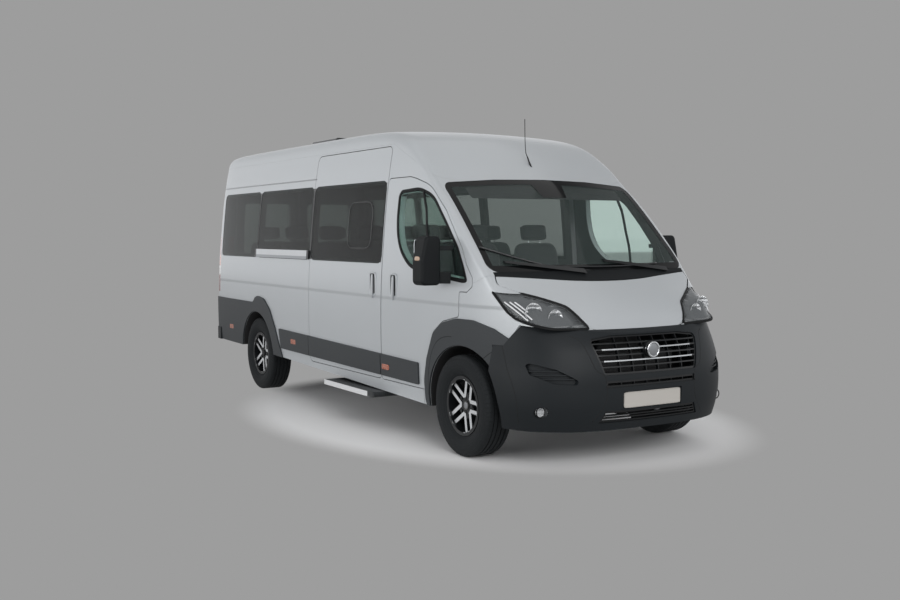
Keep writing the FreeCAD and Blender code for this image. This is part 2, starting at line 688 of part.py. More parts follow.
INTAKE = rounded(in_front(INTAKE_SHARES), 0)
SIDE_INTAKE = rounded(in_front(SIDE_INTAKE_SHARES), DOOR_CORNER_RADIUS / 3)
REAR_DOOR = rounded(in_front(REAR_DOOR_SHARES), [0, DOOR_CORNER_RADIUS, 0, DOOR_CORNER_RADIUS, 0])
REAR_WINDOW = rounded(in_front(REAR_WINDOW_SHARES), WINDOW_CORNER_RADIUS)
REAR_LAMP = rounded(in_front(REAR_LAMP_SHARES), 0)
MOULDING = rounded(in_side(MOULDING_SHARES), MOULDING_RADIUS)
REAR_TRIM = rounded(in_side(REAR_TRIM_SHARES), ARCH_TRIM_RADIUS)
FRONT_TRIM = rounded(in_side(FRONT_TRIM_SHARES), ARCH_TRIM_RADIUS)

ROOF_REGION = across(ROOF_SPLIT, -FAR, FAR)
UNDER_ROOF = across(grown(ROOF_SPLIT, SEAM), -FAR, FAR)
SCREEN_REAR = x_at(SCREEN_REAR_SHARE)
SCREEN_CUT = lengthwise(grown(WINDSCREEN, SEAM), SCREEN_REAR, NOSE_X).cut(GLASS_SEAT)
SCREEN_OPENING = lengthwise(grown(WINDSCREEN, -FLANGE), SCREEN_REAR, NOSE_X)
BONNET_CUT = upright(grown(BONNET, BONNET_GAP / 2), 0, FAR)
COWL_CUT = upright(grown(COWL, SEAM), 0, HEIGHT * WINDSCREEN_SHARES[0][1])
BUMPER_CUT = across(grown(BUMPER_TOP, SEAM), -FAR, FAR)
LAMP_INNER_Y = HALF_WIDTH * BONNET_SHARES[6][1] + GAP
FRONT_DOOR_HOLE = side_prism(grown(FRONT_DOOR, GAP / 2))
REAR_LAMP_HOLE = rear_prism(grown(REAR_LAMP, SEAM), REAR_LAMP_DEPTH)


def arch(axle_x, radius=ARCH_RADIUS):
    """Cylinder of a pair of wheel arches, right across the vehicle."""
    return Part.makeCylinder(radius, 2 * FAR, Vec(axle_x, -FAR, AXLE_Z), Vec(0, 1, 0))


ARCHES = [arch(FRONT_AXLE_X), arch(REAR_AXLE_X)]


def cut_all(shape, tools):
    """The shape less each tool in turn."""
    for tool in tools:
        shape = shape.cut(tool)
    return shape


def side_windows():
    """Outlines of the fixed windows of one side, tail first."""
    low, high = (HEIGHT * share for share in BELT_SHARES)
    wires = []
    for start, end in WINDOW_SPLIT_SHARES:
        corners = [(x_at(start), low), (x_at(end), low), (x_at(end), high), (x_at(start), high)]
        wires.append(rounded(corners, WINDOW_CORNER_RADIUS))
    return wires


def glazed(panel, outline, prism):
    """A panel with the seat and the opening of one bonded window."""
    seat = prism(grown(outline, SEAM)).cut(GLASS_SEAT)
    return panel.cut(seat).cut(prism(grown(outline, -FLANGE)))


def pane(outline, prism):
    """The glass of one window."""
    return GLASS_LAYER.common(prism(outline))


def handle(panel, share_x, share_z):
    """A left door panel with a recess and an upright grip across it."""
    x, z = x_at(share_x), HEIGHT * share_z
    half_width, half_height = HANDLE_WIDTH / 2, HANDLE_HEIGHT / 2
    corners = [(x - half_width, z - half_height), (x + half_width, z - half_height),
               (x + half_width, z + half_height), (x - half_width, z + half_height)]
    recess = side_prism(rounded(corners, half_width)).cut(PANEL_INNER)
    grip = box(x - GRIP_WIDTH / 2, x + GRIP_WIDTH / 2, 0, FAR, z - half_height - GRIP_WIDTH, z + half_height)
    return panel.cut(recess).fuse(TRIM_OUTER.common(grip).cut(INNER)).removeSplitter()


def roof_panel():
    """High roof from the windscreen header to the tail."""
    return biggest(SHELL.common(ROOF_REGION).cut(SCREEN_CUT).cut(SCREEN_OPENING))


def side_wall():
    """Left wall behind the front door, with the sill below the doors."""
    panel = SHELL.common(side_prism(rounded(in_side(WALL_SHARES), 0), 1, SEAM / 2))
    panel = cut_all(panel, [UNDER_ROOF, FRONT_DOOR_HOLE] + ARCHES)
    for outline in side_windows()[:-1]:
        panel = glazed(panel, outline, side_prism)
    panel = panel.cut(rear_prism(grown(REAR_DOOR, GAP / 2)))
    return biggest(panel.cut(REAR_LAMP_HOLE))


def side_walls():
    """Left wall with all its windows, and right wall with the opening of the sliding door."""
    wall = side_wall()
    left = glazed(wall, side_windows()[-1], side_prism)
    right = mirrored(wall.cut(side_prism(grown(SLIDING_DOOR, GAP / 2))))
    return biggest(left), biggest(right)


def sliding_door():
    """Sliding door of the right side."""
    panel = SHELL.common(side_prism(grown(SLIDING_DOOR, -GAP / 2)))
    panel = glazed(panel, side_windows()[-1], side_prism)
    return biggest(mirrored(handle(panel, *SLIDER_HANDLE_SHARES)))


def front_door():
    """Left front door with its window opening."""
    panel = SHELL.common(side_prism(grown(FRONT_DOOR, -GAP / 2)))
    return biggest(handle(glazed(panel, FRONT_WINDOW, side_prism), *FRONT_HANDLE_SHARES))


def rear_door():
    """Left rear door with its window opening."""
    return biggest(glazed(SHELL.common(rear_prism(grown(REAR_DOOR, -GAP / 2))), REAR_WINDOW, rear_prism))


def rear_lamp():
    """Upright lamp of the left rear corner."""
    return biggest(SHELL.common(rear_prism(REAR_LAMP, REAR_LAMP_DEPTH)).common(half_space(1)))


def windscreen():
    """Bonded windscreen."""
    return GLASS_LAYER.common(lengthwise(WINDSCREEN, SCREEN_REAR, NOSE_X))


def cab_pillar():
    """Left windscreen pillar with the rail above the front door."""
    panel = SHELL.common(side_prism(rounded(in_side(PILLAR_SHARES), 0)))
    return biggest(cut_all(panel, [UNDER_ROOF, FRONT_DOOR_HOLE, SCREEN_CUT, SCREEN_OPENING, COWL_CUT, BONNET_CUT]))


def door_pillar():
    """Left pillar behind the front door, inside the shell, with a door seal on either side."""
    middle = x_at(FRONT_DOOR_SHARES[0][0])
    z0, z1 = FLOOR_HEIGHT + FIT, HEIGHT * ROOF_SPLIT_SHARES[0][1]

    def band(start, length):
        return box(middle + start, middle + start + length, HALF_WIDTH / 3, FAR, z0, z1)

    post = CLEAR_CABIN.common(band(-PILLAR_LENGTH / 2, PILLAR_LENGTH))
    seals = [CABIN.common(band(start, SEAL_WIDTH)) for start in (SEAL_OFFSET, -SEAL_OFFSET - SEAL_WIDTH)]
    return biggest(post.fuse(seals).cut(PILLAR_INNER).removeSplitter())


def cowl_panel():
    """Grille panel between the bonnet and the windscreen."""
    panel = SHELL.common(upright(COWL, 0, HEIGHT * WINDSCREEN_SHARES[0][1] - SEAM))
    return biggest(panel.cut(upright(grown(BONNET, BONNET_REAR_GAP), 0, FAR)))


def fender():
    """Left front fender from the door to the headlamp."""
    panel = SHELL.common(side_prism(rounded(in_side(FENDER_SHARES), 0)))
    lamp_hole = side_prism(grown(LAMP, SEAM))
    return biggest(cut_all(panel, [FRONT_DOOR_HOLE, lamp_hole, BUMPER_CUT, BONNET_CUT, COWL_CUT, ARCHES[0]]))


def bonnet():
    """Bonnet, hinged at its rear edge: a thin skin with a thicker frame inside its rim."""
    skin = OUTER.cut(PANEL_INNER).common(upright(grown(BONNET, -BONNET_GAP / 2), 0, FAR))
    frame = SHELL.common(upright(grown(BONNET, -BONNET_FRAME_INSET), 0, FAR))
    return biggest(skin.fuse(frame).removeSplitter().cut(BUMPER_CUT))


def headlamp():
    """Left headlamp in the front corner of the body."""
    block = SHELL.common(side_prism(LAMP, 1, LAMP_INNER_Y))
    return biggest(block.cut(BONNET_CUT).cut(BUMPER_CUT))


def fog_lamp(margin=0):
    """Round fog lamp of the left side, or its hole in the bumper if it has a margin."""
    share_y, share_z = FOG_SHARES
    centre = Vec(NOSE_ROOT, HALF_WIDTH * share_y, HEIGHT * share_z)
    block = Part.makeCylinder(FOG_RADIUS + margin, FAR, centre, Vec(1, 0, 0))
    if margin:
        return block.cut(nose_solid(FOG_RECESS + FOG_DEPTH + margin))
    return block.common(nose_solid(FOG_RECESS)).cut(nose_solid(FOG_RECESS + FOG_DEPTH))


def side_intake():
    """Recess of the left side intake, with level slats left standing in it."""
    recess = lengthwise(SIDE_INTAKE, NOSE_ROOT, NOSE_X + OVERRUN).cut(nose_solid(SIDE_INTAKE_DEPTH))
    low = HEIGHT * SIDE_INTAKE_SHARES[3][1]
    floor = nose_solid(SLAT_RECESS)
    for i in range(1, SLAT_COUNT + 1):
        z = low + i * SLAT_PITCH
        slat = box(NOSE_ROOT, NOSE_X, 0, HALF_WIDTH, z, z + SLAT_HEIGHT)
        recess = recess.cut(slat.common(floor))
    return recess


def front_bumper():
    """Bumper with the openings of the grille, the intakes, the fog lamps and the plate."""
    panel = NOSE_OUTER.cut(NOSE_INNER).common(across(BUMPER_TOP, -FAR, FAR)).cut(ARCHES[0])
    for wire in (GRILLE, SLOT, INTAKE):
        panel = panel.cut(lengthwise(wire, NOSE_ROOT, NOSE_X + OVERRUN))
    for cut in (side_intake(), fog_lamp(SEAM)):
        panel = panel.cut(cut).cut(mirrored(cut))
    z = HEIGHT * PLATE_HEIGHT_SHARE
    seat = box(NOSE_X - PLATE_SEAT_DEPTH, NOSE_X + OVERRUN, -PLATE_SEAT_WIDTH / 2, PLATE_SEAT_WIDTH / 2,
               z - PLATE_SEAT_HEIGHT / 2, z + PLATE_SEAT_HEIGHT / 2)
    return biggest(panel.cut(seat))


def lattice(outline, bars, ribs):
    """Insert of one bumper opening: a frame with level bars and upright ribs."""
    layer = nose_solid(GRILLE_RECESS).cut(nose_solid(GRILLE_RECESS + GRILLE_DEPTH))
    panel = layer.common(lengthwise(grown(outline, -SEAM), NOSE_ROOT, NOSE_X))
    hole = lengthwise(grown(outline, -SEAM - GRILLE_FRAME), NOSE_ROOT, NOSE_X)
    inner = hole.BoundBox
    pitch = inner.ZLength / (bars + 1)
    for i in range(bars):
        z = inner.ZMin + (i + 1) * pitch
        hole = hole.cut(box(NOSE_ROOT, NOSE_X, inner.YMin, inner.YMax, z - GRILLE_BAR_HEIGHT / 2,
                            z + GRILLE_BAR_HEIGHT / 2))
    for i in range(ribs):
        y = (i - (ribs - 1) / 2) * RIB_PITCH
        hole = hole.cut(box(NOSE_ROOT, NOSE_X, y - GRILLE_RIB_WIDTH / 2, y + GRILLE_RIB_WIDTH / 2,
                            inner.ZMin, inner.ZMax))
    return panel.cut(hole)


def grille():
    """Grille with its bare round badge, the slot row below it and the lower intake."""
    z = HEIGHT * BADGE_HEIGHT_SHARE
    ahead = smooth([row[:2] for row in NOSE_SHARES], BADGE_HEIGHT_SHARE)
    front = NOSE_ROOT + NOSE_REACH * ahead + BADGE_PROUD
    badge = Part.makeCylinder(BADGE_RADIUS, GRILLE_DEPTH + BADGE_PROUD, Vec(front, 0, z), Vec(-1, 0, 0))
    badge = badge.makeFillet(BADGE_PROUD / 2, [edge for edge in badge.Edges if edge.BoundBox.XMin > front - FIT])
    upper = lattice(GRILLE, GRILLE_BARS, GRILLE_RIBS).fuse(badge).removeSplitter()
    return [biggest(upper), lattice(SLOT, 0, GRILLE_RIBS), lattice(INTAKE, INTAKE_BARS, 0)]


def trim_region():
    """Where dark trim covers the lower left side: mouldings and wheel arch trims."""
    region = side_prism(MOULDING).fuse([side_prism(wire) for wire in (FRONT_TRIM, REAR_TRIM)])
    return cut_all(region, ARCHES)


def side_trims():
    """Trim of the left front door, and the trims that are fixed to the body or to the slider."""
    layer = TRIM_LAYER.common(trim_region())
    for share_x, share_z in MARKER_SHARES:
        layer = layer.cut(marker_block(share_x, share_z, SEAM))
    on_door = layer.common(side_prism(grown(FRONT_DOOR, -GAP / 2)))
    clear = side_prism(grown(FRONT_DOOR, TRIM_GAP - GAP / 2))
    tail = box(-FAR, BODY_TAIL_X + REAR_LEAN * HEIGHT / 2, -FAR, FAR, -FAR, FAR)
    left = cut_all(layer, [clear, BUMPER_CUT, REAR_LAMP_HOLE, tail, rear_bumper_band(SEAM)])
    door_corners = rounded(in_side(SLIDING_DOOR_SHARES), 0)
    fixed = mirrored(left.cut(side_prism(grown(door_corners, GAP / 2))))
    on_slider = mirrored(left.common(side_prism(grown(SLIDING_DOOR, -GAP / 2))))
    return biggest(on_door), [left, fixed, on_slider]


def marker_block(share_x, share_z, margin=0):
    """Block of a pair of side marker lamps."""
    x, z = x_at(share_x), HEIGHT * share_z
    half_length = MARKER_LENGTH / 2 + margin
    half_height = MARKER_HEIGHT / 2 + margin
    return box(x - half_length, x + half_length, -FAR, FAR, z - half_height, z + half_height)


def marker_lamps():
    """Side marker lamps in the mouldings."""
    return [TRIM_LAYER.common(marker_block(*place)) for place in MARKER_SHARES]


def slide_rail():
    """Rail of the sliding door along the right wall."""
    (start, end), (low, high) = RAIL_SHARES
    block = box(x_at(start), x_at(end), -FAR, 0, HEIGHT * low, HEIGHT * high)
    return TRIM_LAYER.common(block)


def rear_bumper_band(margin=0):
    """Everything from the tail to the ends of the rear bumper, between its edges."""
    low, high = HEIGHT * REAR_BUMPER_SHARES[0], HEIGHT * REAR_BUMPER_SHARES[1]
    ahead = BODY_TAIL_X + REAR_BUMPER_WRAP
    return box(-FAR, ahead + margin, -FAR, FAR, low - margin, high + margin)


def rear_bumper():
    """Bumper across the tail, round the corners of the body."""
    ahead = BODY_TAIL_X + REAR_BUMPER_WRAP
    tail_half = HALF_WIDTH * HALF_WIDTH_SHARES[0][1] + MOULDING_THICKNESS
    end_half = smooth(WIDTH_LINE, ahead) + MOULDING_THICKNESS
    corners = [(TAIL_X, -tail_half), (ahead, -end_half), (ahead, end_half), (TAIL_X, tail_half)]
    radius = REAR_CORNER_RADIUS + REAR_BUMPER_DEPTH
    outline = rounded(corners, [radius, 0, 0, radius])
    return biggest(rear_bumper_band().common(upright(outline, 0, HEIGHT)).cut(TRIM_INNER))


def wheel_housing(axle_x, inner_y):
    """Liner of one left wheel arch, closed towards the middle but for a hole round the axle."""
    outer = arch(axle_x, ARCH_RADIUS - FIT)
    space = outer.common(half_space(1, inner_y)).common(GLASS_OUTER)
    hollow = arch(axle_x, ARCH_RADIUS - FIT - HOUSING_WALL).common(half_space(1, inner_y + HOUSING_WALL))
    shaft_hole = Part.makeCylinder(SHAFT_HOLE_DIAMETER / 2, HALF_WIDTH, Vec(axle_x, 0, AXLE_Z), Vec(0, 1, 0))
    return biggest(cut_all(space, [hollow, UNDERSIDE, shaft_hole]))


def floor_pan():
    """Floor with the bulkhead ahead of the feet, cut round the wheel housings."""
    low = FLOOR_HEIGHT - FLOOR_THICKNESS
    door_end = x_at(FRONT_DOOR_SHARES[0][0]) - GAP
    front = x_at(BULKHEAD_SHARE)
    cab = CLEAR_CABIN.common(box(door_end, front, -FAR, FAR, low, FLOOR_HEIGHT))
    load = CABIN.common(box(TAIL_X, door_end, -FAR, FAR, low, FLOOR_HEIGHT))
    load = load.cut(box(TAIL_X, BODY_TAIL_X + REAR_LEAN * HEIGHT + WALL + GAP, -FAR, FAR, low, FLOOR_HEIGHT))
    top = HEIGHT * FENDER_SHARES[3][1] - GAP
    wall = box(front - BULKHEAD_THICKNESS, front, -FAR, FAR, low, top).common(CLEAR_CABIN)
    pan = cab.fuse([load, wall]).removeSplitter()
    for axle_x, inner_y in ((FRONT_AXLE_X, FRONT_HOUSING_Y), (REAR_AXLE_X, REAR_HOUSING_Y)):
        for _, side in SIDES:
            pan = pan.cut(arch(axle_x, ARCH_RADIUS).common(half_space(side, inner_y - FIT)))
    return biggest(pan)


def revolved(points):
    """Solid of a profile (radius, place along Y) turned about the Y axis."""
    corners = [Vec(r, t, 0) for r, t in points]
    face = Part.Face(Part.makePolygon(corners + corners[:1]))
    return face.revolve(Vec(0, 0, 0), Vec(0, 1, 0), 360)


def tyre():
    """Tyre about the origin: beads, rounded side walls and a crowned, grooved tread."""
    inner = RIM_SEAT_DIAMETER / 2 + FIT
    outer = TYRE_DIAMETER / 2
    half_tread = TREAD_WIDTH / 2
    bead = (inner, BEAD_SEAT_WIDTH / 2)
    flange = (RIM_FLANGE_DIAMETER / 2, BEAD_SEAT_WIDTH / 2)
    belly = (inner + (outer - inner) * SIDEWALL_SHARE, TYRE_WIDTH / 2)
    shoulder = (outer - SHOULDER_DROP, half_tread + SHOULDER_DROP)
    bend = (outer - SHOULDER_DROP / 3, half_tread + SHOULDER_DROP / 3)
    edge = (outer - FIT, half_tread - SHOULDER_DROP)

    def at(point, way=1):
        return Vec(point[0], way * point[1], 0)

    edges = [Part.makeLine(at(bead, -1), at(bead)), Part.Arc(at(edge), at((outer, 0)), at(edge, -1)).toShape()]
    for way in (-1, 1):
        edges.append(Part.makeLine(at(bead, way), at(flange, way)))
        edges.append(Part.Arc(at(flange, way), at(belly, way), at(shoulder, way)).toShape())
        edges.append(Part.Arc(at(shoulder, way), at(bend, way), at(edge, way)).toShape())
    face = Part.Face(Part.Wire(Part.__sortEdges__(edges)))
    solid = face.revolve(Vec(0, 0, 0), Vec(0, 1, 0), 360)
    for share in GROOVE_SHARES:
        start = half_tread * share - GROOVE_WIDTH / 2
        low, high = outer - GROOVE_DEPTH, outer + GROOVE_DEPTH
        solid = solid.cut(revolved([(low, start), (high, start), (high, start + GROOVE_WIDTH),
                                    (low, start + GROOVE_WIDTH)]))
    return solid


def rim():
    """Left alloy wheel about the origin: barrel, hub, five pairs of spokes and bolt heads."""
    seat = RIM_SEAT_DIAMETER / 2
    flange = RIM_FLANGE_DIAMETER / 2
    half = RIM_WIDTH / 2
    lip = BEAD_SEAT_WIDTH / 2 + FIT
    inner = seat - BARREL_WALL
    barrel = revolved([(inner, -half), (flange, -half), (flange, -lip), (seat, -lip), (seat, lip),
                       (flange, lip), (flange, half), (inner, half)])
    face = WHEEL_OFFSET - HUB_DROP
    pieces = [revolved([(0, HUB_SEAT), (HUB_RADIUS, HUB_SEAT), (HUB_RADIUS, face), (0, face)])]
    reach = inner + BARREL_WALL / 2
    limit = Part.makeCylinder(reach, RIM_WIDTH, Vec(0, 0, 0), Vec(0, 1, 0))
    for i in range(SPOKE_COUNT):
        angle = 360 / SPOKE_COUNT * i
        head = Part.makeCylinder(HUB_BOLT_HEAD / 2, HUB_DROP * 2, Vec(HUB_BOLT_CIRCLE / 2, face - HUB_DROP, 0),
                                 Vec(0, 1, 0))
        head.rotate(Vec(0, 0, 0), Vec(0, 1, 0), angle)
        pieces.append(head)
        for offset in (-TWIN_OFFSET, TWIN_OFFSET):
            bar = box(HUB_BORE / 2, reach, HUB_SEAT, WHEEL_OFFSET, offset - SPOKE_WIDTH / 2,
                      offset + SPOKE_WIDTH / 2)
            bar.rotate(Vec(HUB_RADIUS, WHEEL_OFFSET, 0), Vec(0, 0, 1), SPOKE_RISE)
            bar.rotate(Vec(0, 0, 0), Vec(0, 1, 0), angle)
            pieces.append(bar.common(limit))
    wheel = barrel.fuse(pieces)
    wheel = wheel.cut(Part.makeCylinder(HUB_BORE / 2, 2 * RIM_WIDTH, Vec(0, -RIM_WIDTH, 0), Vec(0, 1, 0)))
    wheel = wheel.cut(Part.makeCylinder(inner, RIM_WIDTH, Vec(0, HUB_SEAT, 0), Vec(0, -1, 0)))
    return biggest(wheel.removeSplitter())


def wheels():
    """Places one tyre and one alloy wheel at each of the four wheels."""
    for name, shape in (("tyre_", tyre()), ("rim_", rim())):
        for end, x, track in (("front", FRONT_AXLE_X, FRONT_TRACK), ("rear", REAR_AXLE_X, REAR_TRACK)):
            placed = shape.translated(Vec(x, track / 2, AXLE_Z))
            save_pair(name + end, placed)


def knuckle():
    """Left knuckle with hub and brake disc; it turns about the kingpin."""
    y = FRONT_TRACK / 2
    hub_y = y + HUB_SEAT - FIT

    def disc(radius, start, length):
        return Part.makeCylinder(radius, length, Vec(FRONT_AXLE_X, start, AXLE_Z), Vec(0, -1, 0))

    hub = disc(HUB_BOLT_CIRCLE / 2 + HUB_DISC_MARGIN, hub_y, HUB_SEAT + KINGPIN_INSET)
    brake = disc(BRAKE_DISC_DIAMETER / 2, hub_y - HUB_SEAT, BRAKE_DISC_THICKNESS)
    nose = disc(HUB_BORE / 2 - FIT, hub_y + SPOKE_DEPTH, SPOKE_DEPTH + HOUSING_WALL)
    kingpin_y = y - KINGPIN_INSET
    block = box(FRONT_AXLE_X - KNUCKLE_HALF_WIDTH, FRONT_AXLE_X + KNUCKLE_HALF_WIDTH,
                kingpin_y - KNUCKLE_HALF_WIDTH / 2, kingpin_y + KNUCKLE_HALF_WIDTH / 2,
                AXLE_Z - KNUCKLE_HEIGHT / 2, AXLE_Z + KNUCKLE_HEIGHT / 2)
    return biggest(hub.fuse([brake, nose, block]).removeSplitter())


def chassis_rails():
    """Two long rails below the floor."""
    top = FLOOR_HEIGHT - FLOOR_THICKNESS - FIT
    start, end = (x_at(share) for share in RAIL_END_SHARES)
    rail = box(start, end, RAIL_Y - RAIL_WIDTH / 2, RAIL_Y + RAIL_WIDTH / 2, top - RAIL_HEIGHT, top)
    return rail, mirrored(rail)


def underbody():
    """Fuel tank and exhaust between the rails, both hung from the floor."""
    top = FLOOR_HEIGHT - FLOOR_THICKNESS - FIT
    middle = x_at(TANK_SHARE)
    tank = box(middle - TANK_LENGTH / 2, middle + TANK_LENGTH / 2, PIPE_DIAMETER, PIPE_DIAMETER + TANK_WIDTH,
               top - TANK_HEIGHT, top)
    tank = tank.makeFillet(PIPE_DIAMETER / 2, tank.Edges)
    y = -TANK_WIDTH / 2 - PIPE_DIAMETER
    z = top - RAIL_HEIGHT - PIPE_DIAMETER
    start, silencer_start, end = (x_at(share) for share in PIPE_SHARES)
    exhaust = Part.makeCylinder(PIPE_DIAMETER / 2, end - start, Vec(start, y, z), Vec(1, 0, 0))
    silencer = Part.makeCylinder(SILENCER_DIAMETER / 2, TANK_LENGTH, Vec(silencer_start, y, z), Vec(1, 0, 0))
    silencer = silencer.makeFillet(PIPE_DIAMETER / 2, [edge for edge in silencer.Edges if len(edge.Vertexes) == 1])
    hangers = [box(x, x + HANGER_WIDTH, y - HANGER_WIDTH / 2, y + HANGER_WIDTH / 2, z, top)
               for x in (start + PIPE_DIAMETER, silencer_start - PIPE_DIAMETER, end - PIPE_DIAMETER * 2)]
    return tank, biggest(exhaust.fuse([silencer] + hangers).removeSplitter())


def front_subframe():
    """Cross member with the lower arms that carry the knuckles."""
    top = FLOOR_HEIGHT - FLOOR_THICKNESS - FIT - RAIL_HEIGHT - FIT
    half = FRONT_HOUSING_Y - GAP
    kingpin_y = FRONT_TRACK / 2 - KINGPIN_INSET
    low = AXLE_Z - KNUCKLE_HEIGHT / 2 - FIT - SPRING_THICKNESS
    shape = box(FRONT_AXLE_X - SUBFRAME_LENGTH / 2, FRONT_AXLE_X + SUBFRAME_LENGTH / 2, -half, half,
                top - SUBFRAME_HEIGHT, top)
    arm = box(FRONT_AXLE_X - ARM_HALF_WIDTH, FRONT_AXLE_X + ARM_HALF_WIDTH, RAIL_Y, kingpin_y,
              low, low + SPRING_THICKNESS)
    post = box(FRONT_AXLE_X - KNUCKLE_HALF_WIDTH, FRONT_AXLE_X + KNUCKLE_HALF_WIDTH, RAIL_Y, RAIL_Y + RAIL_WIDTH,
               low, top - SUBFRAME_HEIGHT)
    pieces = [arm, post, mirrored(arm), mirrored(post)]
    return biggest(shape.fuse(pieces).removeSplitter())


def engine():
    """Engine with head cover and gearbox across the bay, and the radiator ahead of it."""
    z = FLOOR_HEIGHT - FLOOR_THICKNESS - RAIL_HEIGHT
    x = x_at(BULKHEAD_SHARE) + GAP
    half = ENGINE_WIDTH / 2
    block = box(x, x + ENGINE_LENGTH, -half, half, z, z + BLOCK_HEIGHT)
    head = box(x + HEAD_INSET, x + ENGINE_LENGTH - HEAD_INSET, HEAD_INSET - half, half - HEAD_INSET, z,
               z + ENGINE_HEIGHT)
    head = head.makeFillet(HEAD_INSET / 2, head.Edges)
    gearbox = Part.makeCylinder(GEARBOX_DIAMETER / 2, GEARBOX_LENGTH + half,
                                Vec(x + ENGINE_LENGTH / 2, 0, z + BLOCK_HEIGHT / 2), Vec(0, 1, 0))
    radiator_x = x_at(RAIL_END_SHARES[1]) + FIT
    radiator = box(radiator_x, radiator_x + RADIATOR_DEPTH, -RADIATOR_WIDTH / 2, RADIATOR_WIDTH / 2,
                   RADIATOR_BOTTOM, RADIATOR_BOTTOM + RADIATOR_HEIGHT)
    return biggest(block.fuse([head, gearbox]).removeSplitter()), radiator


def rear_axle():
    """Live axle with hubs, brake discs and leaf springs."""
    end = REAR_TRACK / 2 + HUB_SEAT - FIT

    def tube(diameter, y0, y1):
        return Part.makeCylinder(diameter / 2, y1 - y0, Vec(REAR_AXLE_X, y0, AXLE_Z), Vec(0, 1, 0))

    half = tube(AXLE_TUBE_DIAMETER, 0, end - HUB_SEAT)
    spring = box(REAR_AXLE_X - SPRING_LENGTH / 2, REAR_AXLE_X + SPRING_LENGTH / 2, SPRING_Y - SPRING_WIDTH / 2,
                 SPRING_Y + SPRING_WIDTH / 2, AXLE_Z, AXLE_Z + AXLE_TUBE_DIAMETER / 2 + SPRING_THICKNESS)
    half = half.fuse([
        tube(DIFF_DIAMETER, 0, DIFF_WIDTH / 2),
        tube(HUB_BOLT_CIRCLE + 2 * HUB_DISC_MARGIN, end - HUB_SEAT * 2, end),
        tube(BRAKE_DISC_DIAMETER, end - HUB_SEAT - BRAKE_DISC_THICKNESS, end - HUB_SEAT),
        tube(HUB_BORE - 2 * FIT, end, end + SPOKE_DEPTH + HOUSING_WALL), spring])
    return biggest(half.fuse(mirrored(half)).removeSplitter())


def seat(x, y):
    """One seat: base, cushion, leaning back and head rest in one solid."""
    floor = FLOOR_HEIGHT + FIT
    half = SEAT_WIDTH / 2
    base = box(x - SEAT_DEPTH / 2, x + SEAT_DEPTH / 2, y - half / 3, y + half / 3, floor, floor + SEAT_HEIGHT)
    cushion = box(x - SEAT_DEPTH / 2, x + SEAT_DEPTH / 2, y - half, y + half, floor + SEAT_HEIGHT - FIT,
                  floor + SEAT_HEIGHT + SEAT_THICKNESS)
    rear = x - SEAT_DEPTH / 2
    top = floor + SEAT_HEIGHT + BACK_HEIGHT
    back = box(rear, rear + BACK_THICKNESS, y - half, y + half, floor + SEAT_HEIGHT, top)
    rest = box(rear, rear + BACK_THICKNESS, y - HEADREST_WIDTH / 2, y + HEADREST_WIDTH / 2, top - FIT,
               top + HEADREST_HEIGHT)
    upper = back.fuse(rest).removeSplitter()
    upper.rotate(Vec(rear, y, floor + SEAT_HEIGHT), Vec(0, 1, 0), -BACK_LEAN)
    return biggest(base.fuse([cushion, upper]).removeSplitter())


def dashboard():
    """Dashboard across the cab, on the bulkhead's face, with the steering column."""
    front = x_at(BULKHEAD_SHARE) - BULKHEAD_THICKNESS - FIT
    half = HALF_WIDTH * DASH_HALF_WIDTH_SHARE
    corners = [(min(x, front), z) for x, z in in_side(DASH_SHARES)]
    panel = across(rounded(corners, DASH_RADIUS), -half, half)
    lean = math.radians(90 - STEERING_TILT)
    down = Vec(math.sin(lean), 0, -math.cos(lean))
    centre = Vec(x_at(STEERING_SHARE), STEERING_Y, HEIGHT * STEERING_HEIGHT_SHARE)
    start = centre + down * (STEERING_RIM + FIT)
    return biggest(panel.fuse(Part.makeCylinder(COLUMN_RADIUS, COLUMN_LENGTH, start, down)).removeSplitter())


def steering_wheel():
    """Steering wheel with three spokes and its hub, on a raked column."""
    ring = Part.makeTorus(STEERING_RADIUS, STEERING_RIM)
    hub = Part.makeCylinder(STEERING_RADIUS / 3, STEERING_RIM * 2, Vec(0, 0, -STEERING_RIM))
    spoke = box(0, STEERING_RADIUS, -STEERING_RIM, STEERING_RIM, -STEERING_RIM / 2, STEERING_RIM / 2)
    wheel = ring.fuse(hub)
    for angle in (90, 180, 270):
        bar = spoke.copy()
        bar.rotate(Vec(0, 0, 0), Vec(0, 0, 1), angle)
        wheel = wheel.fuse(bar)
    wheel = biggest(wheel.removeSplitter())
    wheel.rotate(Vec(0, 0, 0), Vec(0, 1, 0), STEERING_TILT - 90)
    wheel.translate(Vec(x_at(STEERING_SHARE), STEERING_Y, HEIGHT * STEERING_HEIGHT_SHARE))
    return wheel


